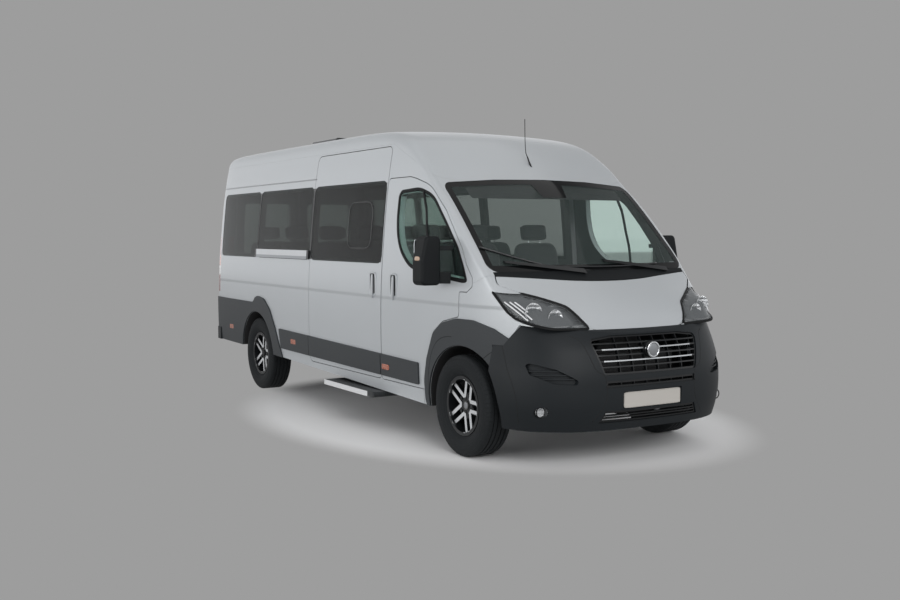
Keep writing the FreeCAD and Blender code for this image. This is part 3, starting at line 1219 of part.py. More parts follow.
def mirror():
    """Left door mirror: tapered housing on two arms, which rise from a cover on the door."""
    low, high = (HEIGHT * share for share in MIRROR_Z_SHARES)
    rear, front = (x_at(share) for share in MIRROR_X_SHARES)
    inner = MIRROR_OUTER - MIRROR_WIDTH
    corners = [(inner, low), (MIRROR_OUTER, low), (MIRROR_OUTER, (low + high) / 2),
               (MIRROR_OUTER - MIRROR_RADIUS, high), (inner, high)]
    housing = lengthwise(rounded(corners, MIRROR_RADIUS), rear, front)
    ends = [edge for edge in housing.Edges if edge.BoundBox.XLength < FIT]
    housing = housing.makeFillet(MIRROR_RADIUS / 2, ends)
    root_rear, root_front = (x_at(share) for share in ARM_ROOT_SHARES)
    plan = rounded([(rear + MIRROR_RADIUS, inner + MIRROR_RADIUS), (front - MIRROR_RADIUS, inner + MIRROR_RADIUS),
                    (root_front, RAIL_Y), (root_rear, RAIL_Y)], 0)
    arms = [upright(plan, HEIGHT * z0, HEIGHT * z1) for z0, z1 in MIRROR_ARM_SHARES]
    cover = TRIM_OUTER.common(side_prism(rounded(in_side(MIRROR_BASE_SHARES), MIRROR_RADIUS / 3)))
    return biggest(housing.fuse(arms + [cover]).cut(TRIM_INNER).removeSplitter())


def wipers():
    """Two wiper arms parked along the foot of the windscreen."""
    layer = body_solid(-WIPER_ARM).cut(TRIM_INNER)
    low = HEIGHT * WINDSCREEN_SHARES[0][1]
    arms = []
    for share in WIPER_PIVOT_SHARES:
        y = HALF_WIDTH * share
        outline = rounded([(y, low - WIPER_ARM), (y, low + WIPER_ARM), (y - WIPER_LENGTH, low + WIPER_ARM * 5),
                           (y - WIPER_LENGTH, low + WIPER_ARM * 4)], 0)
        arms.append(biggest(layer.common(lengthwise(outline, SCREEN_REAR, NOSE_X))))
    return arms


def entry_step():
    """Sliding step below the side door, drawn as it is run out."""
    start, end = (x_at(share) for share in STEP_SHARES)
    block = box(start, end, -STEP_OUTER, -STEP_OUTER + STEP_WIDTH, STEP_TOP - STEP_THICKNESS, STEP_TOP)
    return block.makeFillet(STEP_THICKNESS / 3, [edge for edge in block.Edges if edge.Length < STEP_WIDTH * 2])


def step_cradle():
    """Runners below the floor that carry the step."""
    top = FLOOR_HEIGHT - FLOOR_THICKNESS - FIT
    low = STEP_TOP + FIT
    start, end = (x_at(share) for share in STEP_SHARES)
    return [box(x, x + RAIL_WIDTH, -HALF_WIDTH * RUNNER_END_SHARE, -RAIL_Y - RAIL_WIDTH, low, top)
            for x in (start + RAIL_WIDTH, end - RAIL_WIDTH * 2)]


def roof_fittings():
    """Low roof unit and aerial."""
    x0, x1 = (x_at(share) for share in HATCH_SHARES)
    unit = box(x0, x1, -HATCH_HALF_WIDTH, HATCH_HALF_WIDTH, HEIGHT - HATCH_ROOT, HEIGHT + HATCH_HEIGHT)
    unit = unit.makeFillet(HATCH_HEIGHT / 2, unit.Edges).cut(TRIM_INNER)
    x = x_at(ANTENNA_SHARE)
    base = smooth(ROOF_LINE, x) - ANTENNA_RADIUS
    lean = math.radians(ANTENNA_LEAN)
    mast = Part.makeCone(ANTENNA_RADIUS, ANTENNA_RADIUS / 3, ANTENNA_LENGTH, Vec(x, 0, base),
                         Vec(-math.sin(lean), 0, math.cos(lean)))
    return biggest(unit), biggest(mast.cut(TRIM_INNER))


def both(*shapes):
    """The left shapes and their twins on the right."""
    return list(shapes) + [mirrored(shape) for shape in shapes]


def save_pair(name, shape):
    """Writes a left part and its twin on the right."""
    save(name + "_left", shape)
    save(name + "_right", mirrored(shape))


def fixed_body():
    """Panels, glass and trim that don't move."""
    save("roof_panel", roof_panel())
    save("windscreen", windscreen())
    save("cowl_panel", cowl_panel())
    save("sliding_door", sliding_door())
    save("floor_pan", floor_pan())
    save("front_bumper", front_bumper())
    save("grille", *grille())
    save("rear_bumper", rear_bumper())
    save("slide_rail", slide_rail())
    save("marker_lamps", *marker_lamps())
    save("wipers", *wipers())
    for (name, _), wall in zip(SIDES, side_walls()):
        save("side_wall_" + name, wall)
    save("body_pillars", *both(cab_pillar(), door_pillar()))
    save("fenders", *both(fender()))
    save("headlamps", *both(headlamp(), fog_lamp()))
    save("rear_lamps", *both(rear_lamp()))
    save("side_glass", *both(*[pane(wire, side_prism) for wire in side_windows()]))
    save("wheel_housings", *both(wheel_housing(FRONT_AXLE_X, FRONT_HOUSING_Y),
                                 wheel_housing(REAR_AXLE_X, REAR_HOUSING_Y)))
    on_door, fixed = side_trims()
    save_pair("door_trim", on_door)
    save("side_trim", *fixed)
    save("roof_fittings", *roof_fittings())


def doors():
    """Hinged doors with their glass and mirrors, and the bonnet."""
    save_pair("front_door", front_door())
    save_pair("door_glass", pane(FRONT_WINDOW, side_prism))
    save_pair("mirror", mirror())
    save_pair("rear_door", rear_door())
    save_pair("rear_glass", pane(REAR_WINDOW, rear_prism))
    save("bonnet", bonnet())


def running_gear():
    """Wheels, knuckles, axle, rails and engine."""
    wheels()
    save_pair("knuckle", knuckle())
    save("rear_axle", rear_axle())
    save("chassis_rails", *chassis_rails())
    save("underbody", *underbody())
    save("front_subframe", front_subframe())
    save("engine_block", *engine())
    save("entry_step", entry_step())
    save("step_cradle", *step_cradle())


def cabin():
    """Seats, dashboard and steering wheel."""
    seats = [seat(x_at(CAB_SEAT_SHARE), y) for y in CAB_SEAT_Y]
    seats += [seat(x_at(share), y) for share in ROW_SHARES for y in ROW_Y]
    save("seats", *seats)
    save("dashboard", dashboard())
    save("steering_wheel", steering_wheel())


fixed_body()
doors()
running_gear()
cabin()
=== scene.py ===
import math
import bmesh
import bpy
import numpy as np
from mathutils import Matrix, Vector


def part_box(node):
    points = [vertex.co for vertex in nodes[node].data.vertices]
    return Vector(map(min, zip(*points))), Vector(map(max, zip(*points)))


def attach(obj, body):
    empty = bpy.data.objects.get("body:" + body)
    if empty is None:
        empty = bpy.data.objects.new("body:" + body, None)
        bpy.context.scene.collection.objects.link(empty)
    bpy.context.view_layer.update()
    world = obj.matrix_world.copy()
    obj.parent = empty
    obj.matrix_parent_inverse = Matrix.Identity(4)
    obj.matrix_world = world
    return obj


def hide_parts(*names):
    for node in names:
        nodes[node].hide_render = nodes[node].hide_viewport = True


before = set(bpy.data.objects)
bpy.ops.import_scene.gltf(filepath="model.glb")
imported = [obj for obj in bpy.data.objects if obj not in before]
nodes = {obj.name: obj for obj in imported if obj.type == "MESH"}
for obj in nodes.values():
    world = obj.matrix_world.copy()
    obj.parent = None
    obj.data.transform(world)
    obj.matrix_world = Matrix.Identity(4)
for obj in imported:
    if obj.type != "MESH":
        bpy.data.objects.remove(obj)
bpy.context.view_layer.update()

# Painted body: pressed steel panels in light silver under a clear coat, welded together or hung on hinges. The
# paint carries fine metal flakes and a faint orange peel. A soft crease runs along the flanks below the windows,
# and shallow beads stiffen the long roof.
box = {name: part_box(name) for name in nodes}


def tone(red, green, blue):
    """Linear colour of a display colour: ((c / 255 + 0.055) / 1.055) ** 2.4 for each channel."""
    return [((c / 255 + 0.055) / 1.055) ** 2.4 for c in (red, green, blue)] + [1]


def reckon(tree, operation, *terms):
    """Socket with the result of one math operation on sockets or plain numbers."""
    node = tree.nodes.new("ShaderNodeMath")
    node.operation = operation
    for socket, term in zip(node.inputs, terms):
        if isinstance(term, (int, float)):
            socket.default_value = term
        else:
            tree.links.new(term, socket)
    return node.outputs[0]


def ramp(tree, value, low, high):
    """Socket that climbs smoothly from 0 at low to 1 at high, or falls where low is above high."""
    node = tree.nodes.new("ShaderNodeMapRange")
    node.interpolation_type = "SMOOTHSTEP"
    node.inputs["From Min"].default_value = min(low, high)
    node.inputs["From Max"].default_value = max(low, high)
    node.inputs["To Min"].default_value = float(low > high)
    node.inputs["To Max"].default_value = float(low <= high)
    tree.links.new(value, node.inputs["Value"])
    return node.outputs["Result"]


def overlap(tree, mask, *others):
    """Socket with the product of masks, which is 1 only where each of them is."""
    for other in others:
        mask = reckon(tree, "MULTIPLY", mask, other)
    return mask


def places(tree, kind="Object"):
    """The x, y and z sockets of the place in the vehicle, or of the normal."""
    split = tree.nodes.new("ShaderNodeSeparateXYZ")
    tree.links.new(tree.nodes.new("ShaderNodeTexCoord").outputs[kind], split.inputs[0])
    return split.outputs


def surface(name, colour, roughness, grain=0.0, pitch=0.004, spread=0.06, **settings):
    """Material whose colour swings by ± spread with a soft noise of the place. A fine noise of feature size pitch
    swings the roughness by ± 0.06 and gives a bump of height grain, both sizes in metres. Settings go to the
    shader's own sockets."""
    material = bpy.data.materials.new(name)
    material.use_nodes = True
    tree = material.node_tree
    shader = tree.nodes["Principled BSDF"]
    place = tree.nodes.new("ShaderNodeTexCoord").outputs["Object"]
    cloud = tree.nodes.new("ShaderNodeTexNoise")
    cloud.inputs["Scale"].default_value = 3
    cloud.inputs["Detail"].default_value = 4
    tree.links.new(place, cloud.inputs["Vector"])
    mix = tree.nodes.new("ShaderNodeMix")
    mix.data_type = "RGBA"
    mix.inputs[6].default_value = [c * (1 - spread) for c in colour[:3]] + [1]
    mix.inputs[7].default_value = [min(c * (1 + spread), 1) for c in colour[:3]] + [1]
    tree.links.new(cloud.outputs["Fac"], mix.inputs["Factor"])
    tree.links.new(mix.outputs[2], shader.inputs["Base Color"])
    speck = tree.nodes.new("ShaderNodeTexNoise")
    speck.inputs["Scale"].default_value = 1 / pitch
    speck.inputs["Detail"].default_value = 2
    tree.links.new(place, speck.inputs["Vector"])
    span = tree.nodes.new("ShaderNodeMapRange")
    span.inputs["To Min"].default_value = max(roughness - 0.06, 0.02)
    span.inputs["To Max"].default_value = min(roughness + 0.06, 1)
    tree.links.new(speck.outputs["Fac"], span.inputs["Value"])
    tree.links.new(span.outputs["Result"], shader.inputs["Roughness"])
    bump = tree.nodes.new("ShaderNodeBump")
    bump.name = "grain"
    bump.inputs["Distance"].default_value = grain
    tree.links.new(speck.outputs["Fac"], bump.inputs["Height"])
    tree.links.new(bump.outputs["Normal"], shader.inputs["Normal"])
    for socket, value in settings.items():
        shader.inputs[socket.replace("_", " ")].default_value = value
    return material


def relief(material, height, depth):
    """Adds a second bump under a material's grain: the height's value times the depth, in metres."""
    tree = material.node_tree
    bump = tree.nodes.new("ShaderNodeBump")
    bump.inputs["Distance"].default_value = depth
    tree.links.new(height, bump.inputs["Height"])
    tree.links.new(bump.outputs["Normal"], tree.nodes["grain"].inputs["Normal"])


def veil(material, mask, colour, socket="Base Color"):
    """Mixes a second colour, or value, over what a shader's socket has, where the mask is 1."""
    tree = material.node_tree
    target = tree.nodes["Principled BSDF"].inputs[socket]
    mix = tree.nodes.new("ShaderNodeMix")
    mix.data_type = "RGBA" if socket == "Base Color" else "FLOAT"
    first, second, result = (6, 7, 2) if socket == "Base Color" else (2, 3, 0)
    if target.is_linked:
        tree.links.new(target.links[0].from_socket, mix.inputs[first])
    else:
        mix.inputs[first].default_value = target.default_value
    mix.inputs[second].default_value = colour
    tree.links.new(mask, mix.inputs["Factor"])
    tree.links.new(mix.outputs[result], target)


def dress(material, *names):
    """Gives each CAD node that material."""
    for name in names:
        nodes[name].data.materials.clear()
        nodes[name].data.materials.append(material)


def unpainted(mask, colour):
    """Shows that colour in place of the paint and its metal flakes, where the mask is 1."""
    veil(paint, mask, colour)
    veil(paint, mask, 0.0, "Metallic")


CREASE_LOW, CREASE_HIGH = 1.088, 1.122
FLANK_INNER, WINDOW_INNER, CANT_INNER = 0.90, 0.80, 0.70
ROOF_TOP, BEAD_START, BEAD_PITCH, BEAD_FOOT, BEAD_CREST = 2.46, 0.70, 0.16, 0.018, 0.034
GUTTER_HEIGHT, GUTTER_HALF, GUTTER_END = 2.13, 0.007, -0.42
PRESSING_DEPTH = 0.006
PANE_TOP = 2.045
CABIN_HEIGHT, LENGTH_SHARE = 0.8, 0.3
PRIMER_BLACK, LINING_GREY = tone(30, 32, 33), tone(66, 69, 70)

paint = surface("silver_paint", tone(186, 190, 193), 0.36, grain=0.00002, pitch=0.0012, spread=0.015,
                Metallic=0.2, Coat_Weight=0.35, Coat_Roughness=0.15)
tree = paint.node_tree
x, y, z = places(tree)
beside = reckon(tree, "ABSOLUTE", y)
crease = overlap(tree, ramp(tree, z, CREASE_LOW, CREASE_HIGH),
                 ramp(tree, beside, FLANK_INNER, FLANK_INNER + 0.03))
beads = reckon(tree, "PINGPONG", reckon(tree, "ADD", y, 8 * BEAD_PITCH), BEAD_PITCH / 2)
beads = overlap(tree, ramp(tree, beads, BEAD_FOOT, BEAD_CREST), ramp(tree, z, ROOF_TOP, ROOF_TOP + 0.01),
                ramp(tree, x, BEAD_START, BEAD_START - 0.06))
gutter = reckon(tree, "ABSOLUTE", reckon(tree, "SUBTRACT", z, GUTTER_HEIGHT))
gutter = overlap(tree, ramp(tree, gutter, GUTTER_HALF, 0.001), ramp(tree, x, GUTTER_END, GUTTER_END - 0.02),
                 ramp(tree, beside, CANT_INNER, CANT_INNER + 0.02))
relief(paint, reckon(tree, "SUBTRACT", reckon(tree, "ADD", crease, beads), gutter), PRESSING_DEPTH)
# Painted shade: the gutter along the roof is darkened to a mid grey at half strength, for the shade inside its
# groove.
veil(paint, reckon(tree, "MULTIPLY", gutter, 0.5), tone(120, 123, 126))

# The lining inside is where the normal points in towards the middle line, and black glue shows round the panes.
nx, ny, nz = places(tree, "Normal")
outwards = reckon(tree, "ADD", reckon(tree, "MULTIPLY", ny, y),
                  reckon(tree, "MULTIPLY", nz, reckon(tree, "SUBTRACT", z, CABIN_HEIGHT)))
outwards = reckon(tree, "ADD", outwards, reckon(tree, "MULTIPLY", nx, reckon(tree, "MULTIPLY", x, LENGTH_SHARE)))
unpainted(ramp(tree, outwards, -0.35, -0.45), LINING_GREY)
pane_low, pane_high = box["side_glass"]
glued = overlap(tree, ramp(tree, x, pane_low.x + 0.004, pane_low.x + 0.006),
                ramp(tree, x, pane_high.x - 0.004, pane_high.x - 0.006),
                ramp(tree, z, pane_low.z + 0.008, pane_low.z + 0.010),
                ramp(tree, z, PANE_TOP + 0.002, PANE_TOP),
                ramp(tree, beside, WINDOW_INNER, WINDOW_INNER + 0.01))
unpainted(glued, PRIMER_BLACK)
dress(paint, "roof_panel", "side_wall_left", "side_wall_right", "body_pillars", "fenders", "bonnet",
      "sliding_door", "front_door_left", "front_door_right", "rear_door_left", "rear_door_right")

# Unpainted black mouldings: bumpers, arch trims, rubbing strips and the cowl, moulded in grained plastic and
# clipped to the steel behind. The trims are given a lighter grey than the bumpers, and the cowl a darker one.
plastic = surface("grained_plastic", tone(44, 48, 51), 0.52, grain=0.0001, pitch=0.0011, spread=0.06)
dress(plastic, "side_trim", "door_trim_left", "door_trim_right")
bumper_plastic = surface("bumper_plastic", tone(25, 29, 32), 0.5, grain=0.0001, pitch=0.0011, spread=0.06,
                         Specular_IOR_Level=0.25)
dress(bumper_plastic, "front_bumper", "rear_bumper")
cover_plastic = surface("cowl_plastic", tone(17, 20, 22), 0.55, grain=0.0001, pitch=0.001, spread=0.06,
                        Specular_IOR_Level=0.2)
dress(cover_plastic, "cowl_panel")

# Windscreen: laminated glass bonded to the frame, behind a printed black border that hides the glue. The border
# widens at the top middle over the sensor housing, and the roof's steel flange behind it is black with primer.
SCREEN_LOW, SCREEN_HIGH = box["windscreen"][0].z, box["windscreen"][1].z
SCREEN_HALF = box["windscreen"][1].y
SCREEN_TAPER, SCREEN_BOW = 0.042, 0.045
BORDER = 0.042
HOUSING_HALF, HOUSING_DROP, HOUSING_TAPER = 0.162, 0.145, 0.35
FLANGE_INSET, FLANGE_REAR, FLANGE_LOW = 0.026, 1.80, 1.70


def screen_reach(tree):
    """Two measures that are the same all along the screen's edges. For its sides it is the distance from the
    middle plus a taper times the height above its foot, and for its top the height plus a bow times that
    distance squared."""
    y, z = places(tree)[1:]
    taper = reckon(tree, "MULTIPLY", reckon(tree, "SUBTRACT", z, SCREEN_LOW), SCREEN_TAPER)
    bow = reckon(tree, "MULTIPLY", reckon(tree, "POWER", y, 2), SCREEN_BOW)
    return reckon(tree, "ADD", reckon(tree, "ABSOLUTE", y), taper), reckon(tree, "ADD", z, bow)


screen = surface("laminated_glass", tone(74, 84, 82), 0.03, spread=0.04, Alpha=0.26, Specular_IOR_Level=0.35)
tree = screen.node_tree
y, z = places(tree)[1:]
reach, arc = screen_reach(tree)
edge = ramp(tree, reach, SCREEN_HALF - BORDER - 0.004, SCREEN_HALF - BORDER)
top = ramp(tree, arc, SCREEN_HIGH - BORDER, SCREEN_HIGH - BORDER + 0.003)
foot = ramp(tree, z, SCREEN_LOW + BORDER + 0.004, SCREEN_LOW + BORDER)
slope = reckon(tree, "ADD", reckon(tree, "ABSOLUTE", y),
               reckon(tree, "MULTIPLY", reckon(tree, "SUBTRACT", SCREEN_HIGH, z), HOUSING_TAPER))
housing = overlap(tree, ramp(tree, slope, HOUSING_HALF + 0.002, HOUSING_HALF),
                  ramp(tree, z, SCREEN_HIGH - HOUSING_DROP - 0.002, SCREEN_HIGH - HOUSING_DROP))
border = reckon(tree, "MAXIMUM", reckon(tree, "MAXIMUM", edge, top), reckon(tree, "MAXIMUM", foot, housing))
veil(screen, border, tone(14, 15, 16))
veil(screen, border, 1.0, "Alpha")
dress(screen, "windscreen")

tree = paint.node_tree
x, y, z = places(tree)
reach, arc = screen_reach(tree)
flange = overlap(tree, ramp(tree, reach, SCREEN_HALF - FLANGE_INSET, SCREEN_HALF - FLANGE_INSET - 0.002),
                 ramp(tree, x, FLANGE_REAR, FLANGE_REAR + 0.01),
                 ramp(tree, arc, SCREEN_HIGH - FLANGE_INSET, SCREEN_HIGH - FLANGE_INSET - 0.002),
                 ramp(tree, z, FLANGE_LOW, FLANGE_LOW + 0.01))
unpainted(flange, PRIMER_BLACK)

# Side and rear glass: clear toughened panes that wind down in the cab doors, and dark privacy glass behind them,
# bonded over the body's openings and flush with its skin.
door_pane = surface("toughened_glass", tone(214, 240, 231), 0.03, spread=0.02, Alpha=0.9, Transmission_Weight=1.0,
                    IOR=1.1, Specular_IOR_Level=0.5)
privacy = surface("privacy_glass", tone(108, 115, 112), 0.04, spread=0.03, Alpha=0.96, Transmission_Weight=1.0,
                  IOR=1.15, Specular_IOR_Level=0.3)
dress(door_pane, "door_glass_left", "door_glass_right")
dress(privacy, "side_glass", "rear_glass_left", "rear_glass_right")

# Window seals: black rubber and printed borders round the panes. The cab door's pane has a wide border, and an
# upright bar parts the small fixed pane ahead of the mirror from the one that winds down.
SIDES = (("left", 1), ("right", -1))
SEAL_WIDTH, DOOR_SEAL_WIDTH, SEAL_PROUD = 0.020, 0.030, 0.0025
BAR_PLACES = [(1.604, 1.955), (1.640, 1.883), (1.676, 1.806), (1.707, 1.653), (1.742, 1.50), (1.752, 1.345)]
BAR_HALF, BAR_PROUD = 0.014, 0.004
CLEAR_BESIDE, CLEAR_AHEAD = 1.3, 4.0

rubber_seal = surface("window_rubber", tone(16, 17, 18), 0.6, grain=0.00005, pitch=0.001, spread=0.08,
                      Specular_IOR_Level=0.2)


def made(name, points, faces, material, body):
    """Object of those points and faces, with doubled points merged and the faces turned outwards."""
    mesh = bpy.data.meshes.new(name)
    mesh.from_pydata(points.tolist(), [], faces.tolist())
    tidy = bmesh.new()
    tidy.from_mesh(mesh)
    bmesh.ops.remove_doubles(tidy, verts=tidy.verts, dist=0.00001)
    bmesh.ops.recalc_face_normals(tidy, faces=tidy.faces)
    tidy.to_mesh(mesh)
    tidy.free()
    mesh.shade_smooth()
    mesh.materials.append(material)
    piece = bpy.data.objects.new(name, mesh)
    bpy.context.scene.collection.objects.link(piece)
    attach(piece, body)
    return piece


def woven(rows, columns, wrap_rows=False, wrap_columns=False):
    """Four-sided faces that join the neighbours of a grid of points; a wrapped direction also joins its ends."""
    i, j = np.meshgrid(np.arange(rows - (not wrap_rows)), np.arange(columns - (not wrap_columns)), indexing="ij")
    corners = [(i + a) % rows * columns + (j + b) % columns for a, b in ((0, 0), (1, 0), (1, 1), (0, 1))]
    return np.stack(corners, -1).reshape(-1, 4)


def unit(vectors):
    """The vectors scaled to length 1."""
    return vectors / np.maximum(np.linalg.norm(vectors, axis=-1, keepdims=True), 1e-9)


def carried(name, path, profile, outward, material, body, closed=False):
    """A closed profile (across, outward) carried along a path: at each point of the path the first direction is
    the path's tangent crossed with outward, and the second is square to both. Open ends are drawn in to a
    point."""
    ahead = np.roll(path, -1, 0) - np.roll(path, 1, 0) if closed else np.gradient(path, axis=0)
    across = unit(np.cross(unit(ahead), outward))
    lift = np.cross(across, unit(ahead))
    points = path[:, None] + across[:, None] * profile[:, :1] + lift[:, None] * profile[:, 1:]
    if not closed:
        start, end = points[:1].mean(1, keepdims=True), points[-1:].mean(1, keepdims=True)
        width = points.shape[1]
        points = np.concatenate([start.repeat(width, 1), points, end.repeat(width, 1)])
    return made(name, points.reshape(-1, 3), woven(*points.shape[:2], closed, True), material, body)


def ring(radius_across, radius_out=None, count=10, lift=0.0):
    """Closed oval profile of those two radii."""
    turn = np.arange(count) * 2 * math.pi / count
    return np.stack([radius_across * np.cos(turn), (radius_out or radius_across) * np.sin(turn) + lift], -1)


def band(start, end, low, high, radius=0.0015):
    """Closed flat profile from start to end across and low to high outwards, with bevelled corners."""
    r = min(radius, (end - start) / 3, (high - low) / 3)
    return np.array([(start + r, low), (end - r, low), (end, low + r), (end, high - r), (end - r, high),
                     (start + r, high), (start, high - r), (start, low + r)])


def rim_line(node, outward, count=96, part=None):
    """Edge of a pane's outer face, evenly spaced: the corners that the outer face shares with the thin wall round
    it, in order of their angle about the middle. part keeps only the corners for which it is true."""
    mesh = nodes[node].data
    spots = np.empty(len(mesh.vertices) * 3)
    mesh.vertices.foreach_get("co", spots)
    normals = np.empty(len(mesh.polygons) * 3)
    mesh.polygons.foreach_get("normal", normals)
    corners = np.empty(len(mesh.loops), dtype=np.int64)
    mesh.loops.foreach_get("vertex_index", corners)
    corners = corners.reshape(-1, 3)
    outer = normals.reshape(-1, 3) @ np.array(outward) > 0.6
    merged, same = np.unique(spots.reshape(-1, 3).round(5), axis=0, return_inverse=True)
    same = same.reshape(-1)
    on_face = np.isin(np.arange(len(merged)), same[corners[outer].ravel()])
    on_wall = np.isin(np.arange(len(merged)), same[corners[~outer].ravel()])
    edge = merged[on_face & on_wall]
    if part is not None:
        edge = edge[part(edge)]
    flat = np.delete(edge, int(np.argmax(np.abs(outward))), 1)
    middle = (flat.min(0) + flat.max(0)) / 2
    angle = np.arctan2(flat[:, 1] - middle[1], flat[:, 0] - middle[0])
    edge = edge[np.argsort(angle)]
    step = np.linalg.norm(np.roll(edge, -1, 0) - edge, axis=1)
    along = np.concatenate([[0], np.cumsum(step)])
    even = np.arange(count) * along[-1] / count
    loop = np.concatenate([edge, edge[:1]])
    return np.stack([np.interp(even, along, loop[:, k]) for k in range(3)], -1)


def seal(name, node, outward, width, body):
    """Flat band laid on a pane, from its edge inwards."""
    path = rim_line(node, outward)
    inward = np.cross(np.roll(path, -1, 0) - np.roll(path, 1, 0), outward)
    turned = np.sum(inward * (path.mean(0) - path)) < 0
    start, end = (-width, 0.002) if turned else (-0.002, width)
    return carried(name, path, band(start, end, -0.003, SEAL_PROUD), np.array(outward, float), rubber_seal, body,
                   True)


def laid(path, node, axis, start):
    """The path's points set down on a node's surface: each falls along one axis from that start until it meets the
    surface, and the result is read back as one array. Points that miss it are left out."""
    spots = path.copy()
    spots[:, axis] = start
    mesh = bpy.data.meshes.new("feeler")
    mesh.from_pydata(spots.tolist(), [], [])
    feeler = bpy.data.objects.new("feeler", mesh)
    bpy.context.scene.collection.objects.link(feeler)
    fall = feeler.modifiers.new("fall", "SHRINKWRAP")
    fall.target = nodes[node]
    fall.wrap_method = "PROJECT"
    fall.use_project_x, fall.use_project_y, fall.use_project_z = axis == 0, axis == 1, axis == 2
    fall.use_positive_direction = start < 0
    fall.use_negative_direction = start >= 0
    found = feeler.evaluated_get(bpy.context.evaluated_depsgraph_get()).data
    resting = np.empty(len(path) * 3)
    found.vertices.foreach_get("co", resting)
    bpy.data.objects.remove(feeler)
    bpy.data.meshes.remove(mesh)
    resting = resting.reshape(-1, 3)
    return resting[np.abs(resting[:, axis] - start) > 0.001]


def traced(points, count=40):
    """Points evenly spaced along a smooth line through the given ones: a cubic through each four neighbours."""
    points = np.array(points, float)
    ends = np.concatenate([2 * points[:1] - points[1:2], points, 2 * points[-1:] - points[-2:-1]])
    along = np.linspace(0, len(points) - 1.000001, count)
    i = along.astype(int)
    t = (along - i)[:, None]
    a, b, c, d = ends[i], ends[i + 1], ends[i + 2], ends[i + 3]
    return 0.5 * (2 * b + (c - a) * t + (2 * a - 5 * b + 4 * c - d) * t ** 2 + (3 * b - a - 3 * c + d) * t ** 3)


for side_name, side in SIDES:
    outward = np.array((0, side, 0), float)
    pane, door = "door_glass_" + side_name, "door_" + side_name
    seal("door_seal_" + side_name, pane, outward, DOOR_SEAL_WIDTH, door)
    bar = laid(traced([(x, 0, z) for x, z in BAR_PLACES], 24), pane, 1, side * CLEAR_BESIDE)
    carried("door_bar_" + side_name, bar, band(-BAR_HALF, BAR_HALF, -0.003, BAR_PROUD), outward, rubber_seal, door)
    seal("tail_seal_" + side_name, "rear_glass_" + side_name, (-1, 0, 0), SEAL_WIDTH, "tail_door_" + side_name)

# Sliding pane in the side door's window: a small pane that slides in a thin black frame, which is glued to the
# privacy glass. Only its frame stands proud.
VENT_MIDDLE, VENT_HALF = (0.555, 0, 1.6965), (0.225, 0, 0.1965)
OVAL_POINTS, OVAL_SQUARE = 96, 5


def squared(values, square):
    """The sign of sines or cosines times their size to the power 2 / square, which squares off their circle."""
    return np.sign(values) * np.abs(values) ** (2 / square)


turn = np.arange(OVAL_POINTS) * 2 * math.pi / OVAL_POINTS
oval = np.stack([squared(np.cos(turn), OVAL_SQUARE), np.zeros(OVAL_POINTS),
                 squared(np.sin(turn), OVAL_SQUARE)], -1)
vent_line = laid(np.array(VENT_MIDDLE) + np.array(VENT_HALF) * oval, "side_glass", 1, -CLEAR_BESIDE)
vent_frame = surface("vent_frame", tone(24, 26, 26), 0.3, grain=0.00003, pitch=0.001, spread=0.05)
carried("vent_frame", vent_line, band(-0.005, 0.005, -0.002, 0.003), np.array((0, -1.0, 0)), vent_frame, "root",
        True)

# Grille: a black plastic lattice clipped into the bumper, with two bright bars across it. A bare round boss of
# satin metal stands in the middle in a chrome ring.
BRIGHT_BARS, BRIGHT_HALF_HEIGHT, BRIGHT_HALF_WIDTH = (0.750, 0.8265), 0.0045, 0.405
BOSS_HEIGHT, BOSS_RADIUS, BOSS_CROWN, RING_RADIUS = 0.8153, 0.044, 0.003, 0.050
CIRCLE_POINTS, BOSS_RINGS = 72, 9
AHEAD = np.array((1.0, 0, 0))

gloss_black = surface("gloss_black", tone(17, 19, 21), 0.25, grain=0.00002, pitch=0.002, spread=0.08,
                      Coat_Weight=0.4)
lattice = surface("grille_plastic", tone(13, 15, 17), 0.35, grain=0.00003, pitch=0.0015, spread=0.08)
tree = lattice.node_tree
y, z = places(tree)[1:]
facing = places(tree, "Normal")[0]
nearest = reckon(tree, "MINIMUM", *[reckon(tree, "ABSOLUTE", reckon(tree, "SUBTRACT", z, bar))
                                    for bar in BRIGHT_BARS])
bright = overlap(tree, ramp(tree, nearest, BRIGHT_HALF_HEIGHT + 0.0006, BRIGHT_HALF_HEIGHT),
                 ramp(tree, reckon(tree, "ABSOLUTE", y), BRIGHT_HALF_WIDTH + 0.002, BRIGHT_HALF_WIDTH),
                 ramp(tree, facing, 0.3, 0.5))
veil(lattice, bright, tone(200, 203, 205))
veil(lattice, bright, 0.8, "Metallic")
dress(lattice, "grille")

chrome = surface("chrome", tone(222, 224, 226), 0.1, grain=0.00001, pitch=0.002, spread=0.02, Metallic=1.0)
satin = surface("satin_metal", tone(150, 152, 155), 0.4, grain=0.00003, pitch=0.0006, spread=0.04, Metallic=0.8)
turn = np.arange(CIRCLE_POINTS) * 2 * math.pi / CIRCLE_POINTS
circle = np.stack([np.zeros(CIRCLE_POINTS), np.cos(turn), np.sin(turn)], -1)
centre = np.array((box["grille"][1].x - 0.001, 0, BOSS_HEIGHT))
carried("boss_ring", centre + circle * RING_RADIUS, ring(0.0065, 0.005, 12), AHEAD, chrome, "root", True)
share = np.linspace(0, 1, BOSS_RINGS)[:, None, None]
dome = centre + circle * BOSS_RADIUS * share + BOSS_CROWN * AHEAD * (1 - share ** 2)
back = centre + circle * BOSS_RADIUS * share[::-1] - 0.002 * AHEAD
made("boss_face", np.concatenate([dome, back]).reshape(-1, 3), woven(2 * BOSS_RINGS, CIRCLE_POINTS, True, True),
     satin, "root")

# Number plate: a blank plate of painted pale sheet metal with a pressed rim, screwed into its seat in the bumper
# below the grille.
PLATE_WIDTH, PLATE_HEIGHT, PLATE_MIDDLE, PLATE_SET_BACK, PLATE_THICK = 0.520, 0.110, 0.4758, 0.0155, 0.008
RIM_INSET, RIM_POINTS = 0.006, 16


